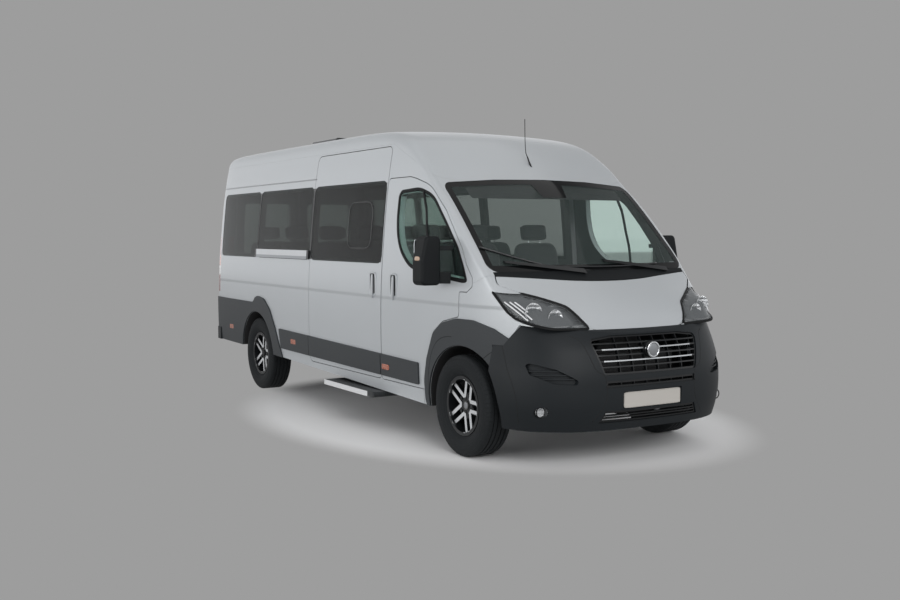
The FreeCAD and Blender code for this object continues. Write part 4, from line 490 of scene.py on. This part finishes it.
def rounded_solid(count, crown, corner):
    """Closed grid of half sizes 1: a super-ellipsoid with its poles on the first axis. crown squares off the
    height angle's sine and cosine, and corner those of the turn."""
    up = np.linspace(-math.pi / 2, math.pi / 2, count[0])[:, None]
    turn = np.linspace(0, 2 * math.pi, count[1], endpoint=False)[None]
    level = squared(np.cos(up), crown)
    return np.stack([squared(np.sin(up), crown) * np.ones_like(turn), level * squared(np.cos(turn), corner),
                     level * squared(np.sin(turn), corner)], -1)


def slab(name, centre, size, material, body, square=(9, 9), count=(16, 64)):
    """Closed slab of size (x, y, z) with rounded corners and edges."""
    points = np.array(centre) + rounded_solid(count, *square) * np.array(size) / 2
    return made(name, points.reshape(-1, 3), woven(*count, False, True), material, body)


plate_white = surface("plate_white", tone(184, 180, 174), 0.4, grain=0.00002, pitch=0.001, spread=0.02)
plate_x = box["front_bumper"][1].x - PLATE_SET_BACK
slab("front_plate", (plate_x, 0, PLATE_MIDDLE), (PLATE_THICK, PLATE_WIDTH, PLATE_HEIGHT), plate_white, "root",
     (12, 14))
corners = np.array([(plate_x + PLATE_THICK / 2, y * (PLATE_WIDTH / 2 - RIM_INSET),
                     PLATE_MIDDLE + z * (PLATE_HEIGHT / 2 - RIM_INSET))
                    for y, z in ((-1, -1), (1, -1), (1, 1), (-1, 1))])
edges = np.linspace(corners, np.roll(corners, -1, 0), RIM_POINTS, endpoint=False, axis=1).reshape(-1, 3)
carried("front_plate_rim", edges, ring(0.0025, 0.0015, 8), AHEAD, plate_white, "root", True)

# Bumper seams: the nose is moulded in three parts that meet in narrow grooves. The wheel arch trims have a groove
# along their lip and meet the bumper in a joint. Each groove and the joint are drawn as thin near-black strips
# laid on the surface, whose colour is painted shade for the shade inside them.
SEAM_HALF, SEAM_PROUD, SEAM_POINTS = 0.0035, 0.0008, 60
NOSE_SEAM = [(0.602, 0.924), (0.546, 0.879), (0.480, 0.701), (0.411, 0.642), (0.411, 0.471), (0.50, 0.34)]
FLARE_SEAM = [(2.66, 0.845), (2.732, 0.721), (2.806, 0.571), (2.828, 0.454), (2.815, 0.32)]
JOINT = [(2.479, 0.743), (2.545, 0.786), (2.61, 0.822)]
LIP_GROOVE = [(2.12, 0.870), (2.05, 0.865), (1.97, 0.842), (1.90, 0.795), (1.845, 0.715), (1.808, 0.60),
              (1.792, 0.50), (1.785, 0.40)]

groove = surface("groove_shadow", tone(12, 13, 14), 0.8, grain=0.0001, pitch=0.002, spread=0.1)
groove_profile = ring(SEAM_HALF, 0.002, 8, SEAM_PROUD - 0.002)
for side_name, side in SIDES:
    nose = traced([(0, side * y, z) for y, z in NOSE_SEAM], SEAM_POINTS)
    carried("nose_seam_" + side_name, laid(nose, "front_bumper", 0, CLEAR_AHEAD), groove_profile, AHEAD, groove,
            "root")
    for name, route, node in (("flare_seam_", FLARE_SEAM, "front_bumper"), ("trim_joint_", JOINT, "side_trim"),
                              ("lip_groove_", LIP_GROOVE, "side_trim")):
        line = traced([(x, 0, z) for x, z in route], SEAM_POINTS)
        carried(name + side_name, laid(line, node, 1, side * CLEAR_BESIDE), groove_profile,
                np.array((0, side, 0), float), groove, "root")

# Lamps: clear polycarbonate lenses glued over dark housings with bright bowls and light strips. The tail clusters
# are red with a white and an amber field. Markers are clipped along the sides, and two fog lamps into the bumper.
LENS_DEPTH, LAMP_FLOOR = 0.016, 0.7
BOWLS = [(0.790, 1.082, 0.066), (0.655, 1.044, 0.056)]
STRIPS = [(0.905, 1.150, 0.842, 1.028), (0.884, 1.150, 0.822, 1.036), (0.862, 1.150, 0.826, 1.086)]
FOG_Y, FOG_Z, FOG_RADIUS = 0.816925, 0.41015, 0.031
MARKER_X, MARKER_Z = 1.103, 0.540
LENS_CELL, LENS_CELL_DEPTH = 0.004, 0.3

lens = surface("clear_lens", tone(150, 154, 156), 0.03, spread=0.03, Alpha=0.10, Coat_Weight=0.6)
red_lens = surface("red_lens", tone(138, 16, 15), 0.08, spread=0.1, Coat_Weight=1.0)
amber_lens = surface("amber_lens", tone(168, 84, 50), 0.12, spread=0.1, Coat_Weight=1.0)
for shell in (red_lens, amber_lens):
    tree = shell.node_tree
    cells = [reckon(tree, "PINGPONG", places(tree)[axis], LENS_CELL) for axis in (0, 2)]
    relief(shell, reckon(tree, "ADD", *cells), LENS_CELL_DEPTH)
tree = red_lens.node_tree
lamp_low, lamp_high = box["rear_lamps"][0].z, box["rear_lamps"][1].z
share = reckon(tree, "DIVIDE", reckon(tree, "SUBTRACT", places(tree)[2], lamp_low), lamp_high - lamp_low)
for low, high, colour in ((0.30, 0.47, tone(206, 204, 200)), (0.48, 0.66, tone(206, 96, 30))):
    veil(red_lens, overlap(tree, ramp(tree, share, low, low + 0.01), ramp(tree, share, high, high - 0.01)), colour)
dress(lens, "headlamps")
dress(red_lens, "rear_lamps")
dress(amber_lens, "marker_lamps")

housing_black = surface("lamp_housing", tone(84, 87, 89), 0.3, grain=0.00005, pitch=0.001, spread=0.1)
reflector = surface("lamp_reflector", tone(236, 238, 240), 0.3, grain=0.0, pitch=0.003, spread=0.02,
                    Metallic=0.3)
tree = reflector.node_tree
y, z = places(tree)[1:]
facets = reckon(tree, "ADD", reckon(tree, "PINGPONG", y, 0.010), reckon(tree, "PINGPONG", z, 0.014))
relief(reflector, facets, 0.8)
led = surface("light_strip", tone(235, 236, 238), 0.3, spread=0.02)


def lamp_shell(side):
    """Test that keeps the points of one side's headlamp, and drops the fog lamp's."""
    return lambda spots: (spots[:, 1] * side > 0) & (spots[:, 2] > LAMP_FLOOR)


def shrunk(name, node, depth, part, material):
    """Copy of the part of a node for which part is true, merged and drawn in along its corners' normals."""
    copy = bmesh.new()
    copy.from_mesh(nodes[node].data)
    bmesh.ops.remove_doubles(copy, verts=copy.verts, dist=0.00001)
    mesh = bpy.data.meshes.new(name)
    copy.to_mesh(mesh)
    copy.free()
    spots = np.empty(len(mesh.vertices) * 3)
    mesh.vertices.foreach_get("co", spots)
    normals = np.empty(len(mesh.vertices) * 3)
    mesh.vertex_normals.foreach_get("vector", normals)
    spots, normals = spots.reshape(-1, 3), normals.reshape(-1, 3)
    corners = np.empty(len(mesh.loops), dtype=np.int64)
    mesh.loops.foreach_get("vertex_index", corners)
    faces = corners.reshape(-1, 3)
    faces = faces[part(spots)[faces].all(1)]
    used, faces = np.unique(faces, return_inverse=True)
    return made(name, (spots - normals * depth)[used], faces.reshape(-1, 3), material, "root")


def bowl(name, centre, ahead, radius, depth):
    """Open reflector bowl with a wall: a parabola turned about its axis, inside and out, joined at the rim."""
    ahead = unit(np.array(ahead, float))
    first = unit(np.cross(ahead, (0, 0, 1.0)))
    second = np.cross(first, ahead)
    turn = np.arange(40) * 2 * math.pi / 40
    spin = first * np.cos(turn)[:, None] + second * np.sin(turn)[:, None]
    share = np.linspace(0, 1, 10)
    inner = [(radius * s, depth * s * s) for s in share]
    outer = [((radius + 0.002) * s, (depth + 0.002) * s * s - 0.003) for s in share[::-1]]
    profile = np.array(inner + outer)
    points = np.array(centre) + profile[:, None, :1] * spin + (profile[:, None, 1:] - depth) * ahead
    return made(name, points.reshape(-1, 3), woven(len(profile), 40, True, True), reflector, "root")


for side_name, side in SIDES:
    facing = np.array((0.62, side * 0.55, 0.55))
    carried("lamp_rim_" + side_name, rim_line("headlamps", facing, 160, lamp_shell(side)), ring(0.011, 0.005, 10),
            facing, rubber_seal, "root", True)
    shrunk("lamp_housing_" + side_name, "headlamps", LENS_DEPTH, lamp_shell(side), housing_black)
    for i, (y, z, radius) in enumerate(BOWLS):
        spot = laid(np.array([(0, side * y, z)]), "headlamps", 0, CLEAR_AHEAD)[0]
        bowl(f"lamp_bowl_{i}_{side_name}", spot - 0.020 * AHEAD, (1, side * 0.1, 0.05), radius, radius * 0.7)
        slab(f"lamp_bulb_{i}_{side_name}", spot - 0.050 * AHEAD, (0.02, 0.026, 0.018), housing_black, "root",
             (2, 2), (12, 24))
    for i, (y0, z0, y1, z1) in enumerate(STRIPS):
        line = laid(np.linspace((0, side * y0, z0), (0, side * y1, z1), 20), "headlamps", 0, CLEAR_AHEAD)
        line -= 0.010 * AHEAD
        carried(f"lamp_strip_{i}_{side_name}", line, ring(0.006, 0.004, 8), AHEAD, led, "root")
    spot = laid(np.array([(0, side * FOG_Y, FOG_Z)]), "headlamps", 0, CLEAR_AHEAD)[0]
    bowl("fog_bowl_" + side_name, spot - 0.006 * AHEAD, (1, side * 0.2, 0), FOG_RADIUS, 0.016)
    carried("fog_ring_" + side_name, spot + circle * (FOG_RADIUS + 0.004) + 0.001 * AHEAD, ring(0.004, 0.004, 8),
            AHEAD, rubber_seal, "root", True)
    marker = laid(np.array([(MARKER_X, 0, MARKER_Z)]), "door_trim_" + side_name, 1, side * CLEAR_BESIDE)[0]
    slab("door_marker_" + side_name, marker, (0.120, 0.012, 0.044), amber_lens, "door_" + side_name, (8, 8))

# Mirrors: black housings on two arms that are bolted to the cab doors. A flat pane sits above a small wide-angle
# one, and a turn lamp is let into the housing's outer edge.
mirror_glass = surface("mirror_glass", tone(200, 205, 208), 0.04, spread=0.02, Metallic=1.0)
turn_lens = surface("turn_lens", tone(176, 142, 112), 0.15, spread=0.05, Coat_Weight=0.8)
dress(cover_plastic, "mirror_left", "mirror_right")
for side_name, side in SIDES:
    near, far = box["mirror_" + side_name]
    rear, outer, low, high = near.x, max(abs(near.y), abs(far.y)), near.z, far.z
    for part, z0, z1 in (("upper", low + 0.135, high - 0.022), ("lower", low + 0.020, low + 0.125)):
        slab(f"mirror_{part}_{side_name}", (rear + 0.0005, side * (outer - 0.083), (z0 + z1) / 2),
             (0.005, 0.128, z1 - z0), mirror_glass, "door_" + side_name, (10, 7))
    slab("turn_lamp_" + side_name, (rear + 0.075, side * (outer - 0.0035), (low + high) / 2 - 0.02),
         (0.075, 0.006, 0.105), turn_lens, "door_" + side_name, (5, 5))

# Roof unit and aerial: a gloss black hatch screwed to the roof, and a thin rubber-covered whip screwed into its
# black foot above the windscreen.
WHIP_PLACES, WHIP_RADIUS = [(1.655, 0, 2.228), (1.6165, 0, 2.284), (1.604, 0, 2.40), (1.60, 0, 2.555)], 0.0030
dress(gloss_black, "roof_fittings", "wipers")
carried("aerial_whip", traced(WHIP_PLACES, 24), ring(WHIP_RADIUS), np.array((0, 1.0, 0)), rubber_seal, "root")

# Wipers: rubber blades in black carriers, parked low on the screen on the CAD arms, which are dressed in gloss
# black with the roof unit. Each blade lies on the glass along its whole length.
BLADE_ROUTES = ([(-0.905, 1.522), (-0.66, 1.442), (-0.43, 1.380)], [(-0.33, 1.376), (0.15, 1.372), (0.62, 1.388)])
for i, route in enumerate(BLADE_ROUTES):
    line = laid(traced([(0, y, z) for y, z in route]), "windscreen", 0, CLEAR_AHEAD)
    carried(f"wiper_blade_{i}", line, band(-0.006, 0.006, 0.0, 0.016, 0.003), np.array((0.7, 0, 0.7)), gloss_black,
            "root")

# Slide rail and entry step: extruded aluminium. The rail is screwed to the side below the windows and ends in
# black stops. The step's black tread is ribbed along its length, and a bright strip covers its outer edge.
STRIP_END, RIB_PITCH, RIB_DEPTH = 0.945, 0.009, 0.003
RAIL_LIP, RAIL_STOP = 0.030, 0.042

tread = surface("step_tread", tone(38, 41, 43), 0.5, grain=0.00004, pitch=0.0008)
tree = tread.node_tree
x, y = places(tree)[:2]
relief(tread, ramp(tree, reckon(tree, "PINGPONG", y, RIB_PITCH), 0.002, 0.004), RIB_DEPTH)
sideways = reckon(tree, "ABSOLUTE", places(tree, "Normal")[1])
strip = overlap(tree, ramp(tree, sideways, 0.6, 0.7), ramp(tree, x, STRIP_END + 0.001, STRIP_END))
veil(tread, strip, tone(214, 215, 216))
dress(tread, "entry_step")

aluminium = surface("brushed_aluminium", tone(196, 198, 200), 0.34, grain=0.00003, pitch=0.0008, Metallic=0.7)
tree = aluminium.node_tree
x = places(tree)[0]
rail_low, rail_high = box["slide_rail"]
lip = ramp(tree, places(tree)[2], rail_low.z + RAIL_LIP, rail_low.z + RAIL_LIP - 0.004)
ends = reckon(tree, "MAXIMUM", ramp(tree, x, rail_low.x + RAIL_STOP, rail_low.x + RAIL_STOP - 0.004),
              ramp(tree, x, rail_high.x - RAIL_STOP, rail_high.x - RAIL_STOP + 0.004))
veil(aluminium, lip, tone(150, 153, 156))
veil(aluminium, ends, tone(22, 24, 26))
veil(aluminium, ends, 0.0, "Metallic")
dress(aluminium, "slide_rail")

# Wheels: cast alloy, painted black and then machined bright on the faces of the five twin spokes, with a grey cap
# over the hub. The tyre has plain ribs along the tread and radial cuts at its shoulders.
AXLES = (box["rim_front_left"], box["rim_rear_left"])
FRONT_X, REAR_X = ((low.x + high.x) / 2 for low, high in AXLES)
AXLE_Z = (AXLES[0][0].z + AXLES[0][1].z) / 2
HUB_FACE = {"front": 0.957, "rear": 0.947}
SPOKE_GAP, SPOKE_EDGE, HUB_RADIUS, FACE_RADIUS, CAP_RADIUS = 0.021, 0.048, 0.062, 0.197, 0.030
LATHE_PITCH, LATHE_DEPTH = 0.0005, 0.02
SHOULDER, CUT_TURN, WALL_RIB, TREAD_DEPTH = 0.338, math.pi / 72, 0.011, 0.005


def about_axle(tree):
    """Place about the nearer axle: its distance from the axle's line, its angle there, and 1 for the front."""
    x, y, z = places(tree)
    front = reckon(tree, "GREATER_THAN", x, (FRONT_X + REAR_X) / 2)
    axle = reckon(tree, "ADD", reckon(tree, "MULTIPLY", front, FRONT_X - REAR_X), REAR_X)
    ahead, above = reckon(tree, "SUBTRACT", x, axle), reckon(tree, "SUBTRACT", z, AXLE_Z)
    squares = reckon(tree, "ADD", reckon(tree, "POWER", ahead, 2), reckon(tree, "POWER", above, 2))
    return reckon(tree, "SQRT", squares), reckon(tree, "ARCTAN2", above, ahead), front


alloy = surface("cast_alloy", tone(22, 24, 26), 0.3, grain=0.00002, pitch=0.001, spread=0.08)
tree = alloy.node_tree
radius, turn, front = about_axle(tree)
across = reckon(tree, "MULTIPLY", radius, reckon(tree, "SINE", reckon(tree, "PINGPONG", turn, math.pi / 5)))
face = reckon(tree, "ADD", reckon(tree, "MULTIPLY", front, HUB_FACE["front"] - HUB_FACE["rear"]), HUB_FACE["rear"])
beyond = reckon(tree, "SUBTRACT", reckon(tree, "ABSOLUTE", places(tree)[1]), face)
sideways = reckon(tree, "ABSOLUTE", places(tree, "Normal")[1])
machined = overlap(tree, ramp(tree, sideways, 0.94, 0.97), ramp(tree, beyond, 0.0008, 0.0016),
                   ramp(tree, radius, FACE_RADIUS + 0.0005, FACE_RADIUS),
                   ramp(tree, across, SPOKE_GAP, SPOKE_GAP + 0.0006),
                   ramp(tree, across, SPOKE_EDGE, SPOKE_EDGE - 0.0006),
                   ramp(tree, radius, HUB_RADIUS - 0.004, HUB_RADIUS))
veil(alloy, machined, tone(214, 216, 218))
veil(alloy, machined, 0.35, "Metallic")
relief(alloy, overlap(tree, reckon(tree, "PINGPONG", radius, LATHE_PITCH), machined), LATHE_DEPTH)

rubber = surface("tyre_rubber", tone(26, 29, 31), 0.75, grain=0.00015, pitch=0.0015, spread=0.1,
                 Specular_IOR_Level=0.25)
tree = rubber.node_tree
radius, turn = about_axle(tree)[:2]
shoulder = ramp(tree, radius, SHOULDER, SHOULDER + 0.004)
lugs = overlap(tree, ramp(tree, reckon(tree, "PINGPONG", turn, CUT_TURN), 0.009, 0.012), shoulder)
wall = overlap(tree, ramp(tree, reckon(tree, "PINGPONG", radius, WALL_RIB), 0.001, 0.002),
               reckon(tree, "SUBTRACT", 1.0, shoulder))
relief(rubber, reckon(tree, "ADD", lugs, reckon(tree, "MULTIPLY", wall, 0.3)), TREAD_DEPTH)
for end, axle_x in (("front", FRONT_X), ("rear", REAR_X)):
    for side_name, side in SIDES:
        corner = end + "_" + side_name
        dress(alloy, "rim_" + corner)
        dress(rubber, "tyre_" + corner)
        slab("cap_" + corner, (axle_x, side * (HUB_FACE[end] + 0.004), AXLE_Z),
             (CAP_RADIUS * 2, 0.012, CAP_RADIUS * 2), satin, "wheel_" + corner, (2, 2), (20, 40))

# Underside and running gear: steel under black underseal with a little road dust, welded and bolted to the rails.
# The knuckles that carry the front wheels are bare cast iron.
steel = surface("undersealed_steel", tone(30, 30, 31), 0.7, grain=0.0004, pitch=0.004, spread=0.25)
dress(steel, "engine_block", "floor_pan", "wheel_housings", "rear_axle", "chassis_rails", "underbody",
      "front_subframe", "step_cradle")
iron = surface("cast_iron", tone(92, 92, 90), 0.5, grain=0.0003, pitch=0.003, spread=0.2, Metallic=0.7)
dress(iron, "knuckle_left", "knuckle_right")

# Side door handles: an upright grip in a recess, inside a raised ring in the body's colour. The ring and the
# grip are painted mouldings, fixed from inside the door. The recess is a near-black slab behind the grip: painted
# shade for the shade inside the hollow.
HANDLE_Z, HANDLE_HEIGHT, HANDLE_WIDTH, GRIP_WIDTH = 1.205, 0.190, 0.104, 0.026
for name, node, body, side, handle_x in (
        ("handle_left", "front_door_left", "door_left", 1, 1.223),
        ("handle_right", "front_door_right", "door_right", -1, 1.223),
        ("handle_slider", "sliding_door", "root", -1, 0.858)):
    loop = np.array((handle_x, 0, HANDLE_Z)) + oval * np.array((HANDLE_WIDTH / 2, 0, HANDLE_HEIGHT / 2))
    skin = np.median(laid(loop, node, 1, side * CLEAR_BESIDE)[:, 1])
    loop[:, 1] = skin
    carried(name + "_ring", loop, ring(0.008, 0.008, 12), np.array((0, side, 0), float), paint, body, True)
    slab(name + "_recess", (handle_x, skin, HANDLE_Z), (HANDLE_WIDTH - 0.008, 0.006, HANDLE_HEIGHT - 0.008),
         rubber_seal, body, (6, 6))
    slab(name + "_grip", (handle_x, skin + side * 0.006, HANDLE_Z), (GRIP_WIDTH, 0.014, HANDLE_HEIGHT - 0.022),
         paint, body, (4, 5))

# Tail: two doors on painted outside hinges, with a grip in a dark cup on one and a black pull bar on the other.
# The skin leans forward as it rises, and each piece is screwed on where it lies.
HINGE_HEIGHTS, HINGE_PLACE = (0.72, lamp_low - 0.07, lamp_high + 0.09), 0.772
TAIL_LEAN, TAIL_FOOT = 0.016, 0.573
CUP_PLACE, CUP_HEIGHT = -0.075, 1.05
tail_x = box["rear_door_left"][0].x
cup_x, bar_x = tail_x + TAIL_LEAN * 0.48, tail_x + TAIL_LEAN * 0.22
for side_name, side in SIDES:
    for i, z in enumerate(HINGE_HEIGHTS):
        slab(f"tail_hinge_{i}_{side_name}", (tail_x + TAIL_LEAN * (z - TAIL_FOOT) - 0.002, side * HINGE_PLACE, z),
             (0.016, 0.085, 0.055), paint, "tail_door_" + side_name, (6, 6))
slab("tail_handle_cup", (cup_x, CUP_PLACE, CUP_HEIGHT), (0.014, 0.075, 0.17), rubber_seal, "tail_door_right",
     (6, 5))
slab("tail_handle", (cup_x - 0.008, CUP_PLACE, CUP_HEIGHT), (0.016, 0.030, 0.150), paint, "tail_door_right",
     (4, 5))
slab("tail_bar", (bar_x - 0.001, 0.37, 0.90), (0.030, 0.56, 0.045), plastic, "tail_door_left", (5, 8))

# Cab: a moulded soft-touch dashboard on its cross beam, with a hooded instrument pod, a screen and four vents.
# The steering wheel is moulded in the same dark plastic.
trim_plastic = surface("cabin_plastic", tone(50, 53, 54), 0.62, grain=0.00015, pitch=0.0014, spread=0.08)
dress(trim_plastic, "dashboard", "steering_wheel")
dash_low, dash_high = box["dashboard"]
slab("instrument_hood", (dash_high.x - 0.30, 0.45, dash_high.z - 0.035), (0.26, 0.40, 0.16), trim_plastic, "root",
     (3, 3), (20, 40))
slab("dash_screen", (dash_low.x + 0.10, 0.0, dash_high.z - 0.10), (0.02, 0.24, 0.14), gloss_black, "root")
for i, y in enumerate((-0.72, -0.22, 0.20, 0.74)):
    slab(f"dash_vent_{i}", (dash_low.x + 0.11, y, dash_high.z - 0.09), (0.03, 0.11, 0.08), gloss_black, "root",
         (4, 4))

# Seats: foam cushions in woven grey cloth, sewn in a flat middle panel and two bolsters, on moulded pedestals. The
# head rests stand on two steel posts.
SEAT_PLACES = [(1.4265, y) for y in (0.45, -0.17, -0.64)] + [
    (x, y) for x in (0.418, -0.430, -1.277, -2.0775) for y in (0.64, 0.17, -0.64)]
SEAT_WIDTH, SEAT_DEPTH, SEAT_FLOOR, CUSHION_BASE, COVER_GAP = 0.460, 0.480, 0.601, 0.930, 0.006
CUSHION_THICK, BACK_HEIGHT, BACK_THICK, HEAD_WIDTH, HEAD_HEIGHT = 0.130, 0.620, 0.110, 0.260, 0.160
BACK_LEAN = math.radians(12)
PAD_COUNT, PAD_CROWN, PAD_CORNER, PAD_PULL = (28, 72), 3.2, 5, 0.035
SEAM_PLACE, SEAM_WIDTH, SEAM_DEPTH = 0.62, 0.035, 0.10
THREAD_PITCH, WEAVE_DEPTH = 0.0011, 0.3

cloth = surface("seat_cloth", tone(58, 60, 62), 0.9, grain=0.0003, pitch=0.0012, spread=0.15, Sheen_Weight=0.3)
tree = cloth.node_tree
x, y, z = places(tree)
weave = reckon(tree, "ADD", reckon(tree, "PINGPONG", y, THREAD_PITCH),
               reckon(tree, "PINGPONG", reckon(tree, "ADD", x, z), THREAD_PITCH))
relief(cloth, weave, WEAVE_DEPTH)


def pad(name, centre, size, lean, pivot, face):
    """Crowned cushion: a super-ellipsoid whose sides pull in between its corners by a share of 1 - the square of
    the place along them, with two sewn channels across the face given by its axis (2 is up, 0 is ahead). It is
    then leaned back about the pivot."""
    shape = rounded_solid(PAD_COUNT, PAD_CROWN, PAD_CORNER)[..., [1, 2, 0]]
    pull = np.stack([1 - shape[..., 1] ** 2, 1 - shape[..., 0] ** 2, 0 * shape[..., 0]], -1)
    shape = shape * (1 - PAD_PULL * pull)
    seam = np.exp(-((np.abs(shape[..., 1]) - SEAM_PLACE) / SEAM_WIDTH) ** 2)
    shape[..., 2] *= 1 - SEAM_DEPTH * seam
    if face == 0:
        shape = shape[..., [2, 1, 0]]
    points = np.array(centre) + shape * np.array(size) / 2 - np.array(pivot)
    x, z = points[..., 0].copy(), points[..., 2].copy()
    points[..., 0] = x * math.cos(lean) - z * math.sin(lean)
    points[..., 2] = x * math.sin(lean) + z * math.cos(lean)
    piece = made(name, (points + np.array(pivot)).reshape(-1, 3), woven(*PAD_COUNT, False, True), cloth, "root")
    return piece


for i, (x, y) in enumerate(SEAT_PLACES):
    hinge = (x - SEAT_DEPTH / 2, y, CUSHION_BASE)
    cushion = pad(f"seat_{i}_cushion", (x, y, CUSHION_BASE + CUSHION_THICK / 2),
                  (SEAT_DEPTH - COVER_GAP, SEAT_WIDTH - COVER_GAP, CUSHION_THICK), 0, hinge, 2)
    back_x, head_z = hinge[0] + BACK_THICK / 2, CUSHION_BASE + BACK_HEIGHT + HEAD_HEIGHT / 2 + 0.005
    back = pad(f"seat_{i}_back", (back_x, y, CUSHION_BASE + BACK_HEIGHT / 2 + 0.05),
               (BACK_THICK, SEAT_WIDTH - COVER_GAP, BACK_HEIGHT - 0.10), BACK_LEAN, hinge, 0)
    head = pad(f"seat_{i}_head", (back_x, y, head_z), (BACK_THICK * 0.9, HEAD_WIDTH, HEAD_HEIGHT - 0.02),
               BACK_LEAN, hinge, 0)
    base = slab(f"seat_{i}_base", (x, y, (SEAT_FLOOR + CUSHION_BASE) / 2),
                (SEAT_DEPTH - 0.02, SEAT_WIDTH / 3, CUSHION_BASE - SEAT_FLOOR), trim_plastic, "root", (7, 7),
                (20, 40))
    for piece in (cushion, back, head, base):
        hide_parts("seats")
    for j, side in enumerate((-1, 1)):
        root = np.array(hinge) + (BACK_THICK / 2 * math.cos(BACK_LEAN), side * 0.06, 0)
        rise = np.array((-math.sin(BACK_LEAN), 0, math.cos(BACK_LEAN)))
        post = root + rise * np.linspace(BACK_HEIGHT - 0.08, BACK_HEIGHT + 0.05, 6)[:, None]
        carried(f"seat_{i}_post_{j}", post, ring(0.006), np.array((0, 1.0, 0)), chrome, "root")

# Studio: one grey room without corners. The floor is a pale diffuse surface in an oval round the vehicle, where
# it keeps the shadow; this pale oval is a painted pool of light, and further out the floor turns into the grey of
# the room. Glass shows a pale room behind it.
ROOM = tone(157, 157, 157)
POOL_MIDDLE, POOL_HALF, POOL_INNER, POOL_OUTER = (0.6, 0.2), (2.8, 2.06), 0.84, 1.04
FLOOR_HALF = 60
FILL_STRENGTH = 1.5

floor_mesh = bpy.data.meshes.new("floor")
floor_mesh.from_pydata([(i * FLOOR_HALF, j * FLOOR_HALF, 0) for i, j in ((-1, -1), (1, -1), (1, 1), (-1, 1))], [],
                       [(0, 1, 2, 3)])
floor = bpy.data.objects.new("floor", floor_mesh)
bpy.context.scene.collection.objects.link(floor)
ground = bpy.data.materials.new("studio_floor")
ground.use_nodes = True
tree = ground.node_tree
tree.nodes.clear()
output = tree.nodes.new("ShaderNodeOutputMaterial")
blend = tree.nodes.new("ShaderNodeMixShader")
pale = tree.nodes.new("ShaderNodeBsdfDiffuse")
pale.inputs["Color"].default_value = tone(246, 246, 246)
grey = tree.nodes.new("ShaderNodeEmission")
grey.inputs["Color"].default_value = ROOM
squares = [reckon(tree, "POWER", reckon(tree, "DIVIDE", reckon(tree, "SUBTRACT", place, middle), half), 2)
           for place, middle, half in zip(places(tree), POOL_MIDDLE, POOL_HALF)]
away = reckon(tree, "SQRT", reckon(tree, "ADD", *squares))
# Painted pool of light: pale diffuse inside the oval, fading to the room's grey outside it.
tree.links.new(ramp(tree, away, POOL_INNER, POOL_OUTER), blend.inputs["Fac"])
tree.links.new(pale.outputs["BSDF"], blend.inputs[1])
tree.links.new(grey.outputs["Emission"], blend.inputs[2])
tree.links.new(blend.outputs["Shader"], output.inputs["Surface"])
floor_mesh.materials.append(ground)

world = bpy.data.worlds.new("studio")
bpy.context.scene.world = world
world.use_nodes = True
tree = world.node_tree
fill = tree.nodes["Background"]
fill.inputs["Color"].default_value = tone(238, 239, 241)
strength = reckon(tree, "MULTIPLY", ramp(tree, places(tree)[2], 1.0, -0.2), FILL_STRENGTH)
tree.links.new(strength, fill.inputs["Strength"])
ray = tree.nodes.new("ShaderNodeLightPath")
shown = fill.outputs["Background"]
for kind, colour in (("Is Transmission Ray", tone(252, 253, 253)), ("Is Camera Ray", ROOM)):
    plain = tree.nodes.new("ShaderNodeBackground")
    plain.inputs["Color"].default_value = colour
    choose = tree.nodes.new("ShaderNodeMixShader")
    tree.links.new(ray.outputs[kind], choose.inputs["Fac"])
    tree.links.new(shown, choose.inputs[1])
    tree.links.new(plain.outputs["Background"], choose.inputs[2])
    shown = choose.outputs["Shader"]
tree.links.new(shown, tree.nodes["World Output"].inputs["Surface"])

for name, place, aim, size, power in (
        ("ceiling_light", (2.5, -1.0, 9.0), (2.5, -0.5, 0), (16, 14), 330),
        ("front_light", (13.0, -2.0, 6.0), (2.5, 0, 1), (8, 4), 560),
        ("side_light", (2.0, -12.0, 2.2), (0.5, 0, 1), (14, 4), 360)):
    lamp = bpy.data.lights.new(name, "AREA")
    lamp.shape = "RECTANGLE"
    lamp.size, lamp.size_y = size
    lamp.energy = power
    holder = bpy.data.objects.new(name, lamp)
    holder.location = place
    holder.rotation_euler = (Vector(aim) - Vector(place)).to_track_quat("-Z", "Y").to_euler()
    bpy.context.scene.collection.objects.link(holder)

# Camera: about the height of a standing person's eyes, off the front right corner. It looks along a heading turned
# from the vehicle's front, a little downwards.
CAMERA_PLACE, FOCAL_LENGTH, SENSOR_WIDTH = (8.8143, -5.07043, 1.63021), 42.806, 36
YAW, PITCH, ROLL = math.radians(148.8786), math.radians(3.5856), math.radians(-0.0886)
ahead = Vector((math.cos(YAW) * math.cos(PITCH), math.sin(YAW) * math.cos(PITCH), -math.sin(PITCH)))
across = ahead.cross(Vector((0, 0, 1))).normalized()
upward = across.cross(ahead)
level = math.cos(ROLL) * across + math.sin(ROLL) * upward
upright = -math.sin(ROLL) * across + math.cos(ROLL) * upward
optics = bpy.data.cameras.new("camera")
optics.lens = FOCAL_LENGTH
optics.sensor_width = SENSOR_WIDTH
camera = bpy.data.objects.new("camera", optics)
camera.matrix_world = Matrix.Translation(CAMERA_PLACE) @ Matrix((level, upright, -ahead)).transposed().to_4x4()
bpy.context.scene.collection.objects.link(camera)
bpy.context.scene.camera = camera
bpy.context.scene.view_settings.view_transform = "Standard"
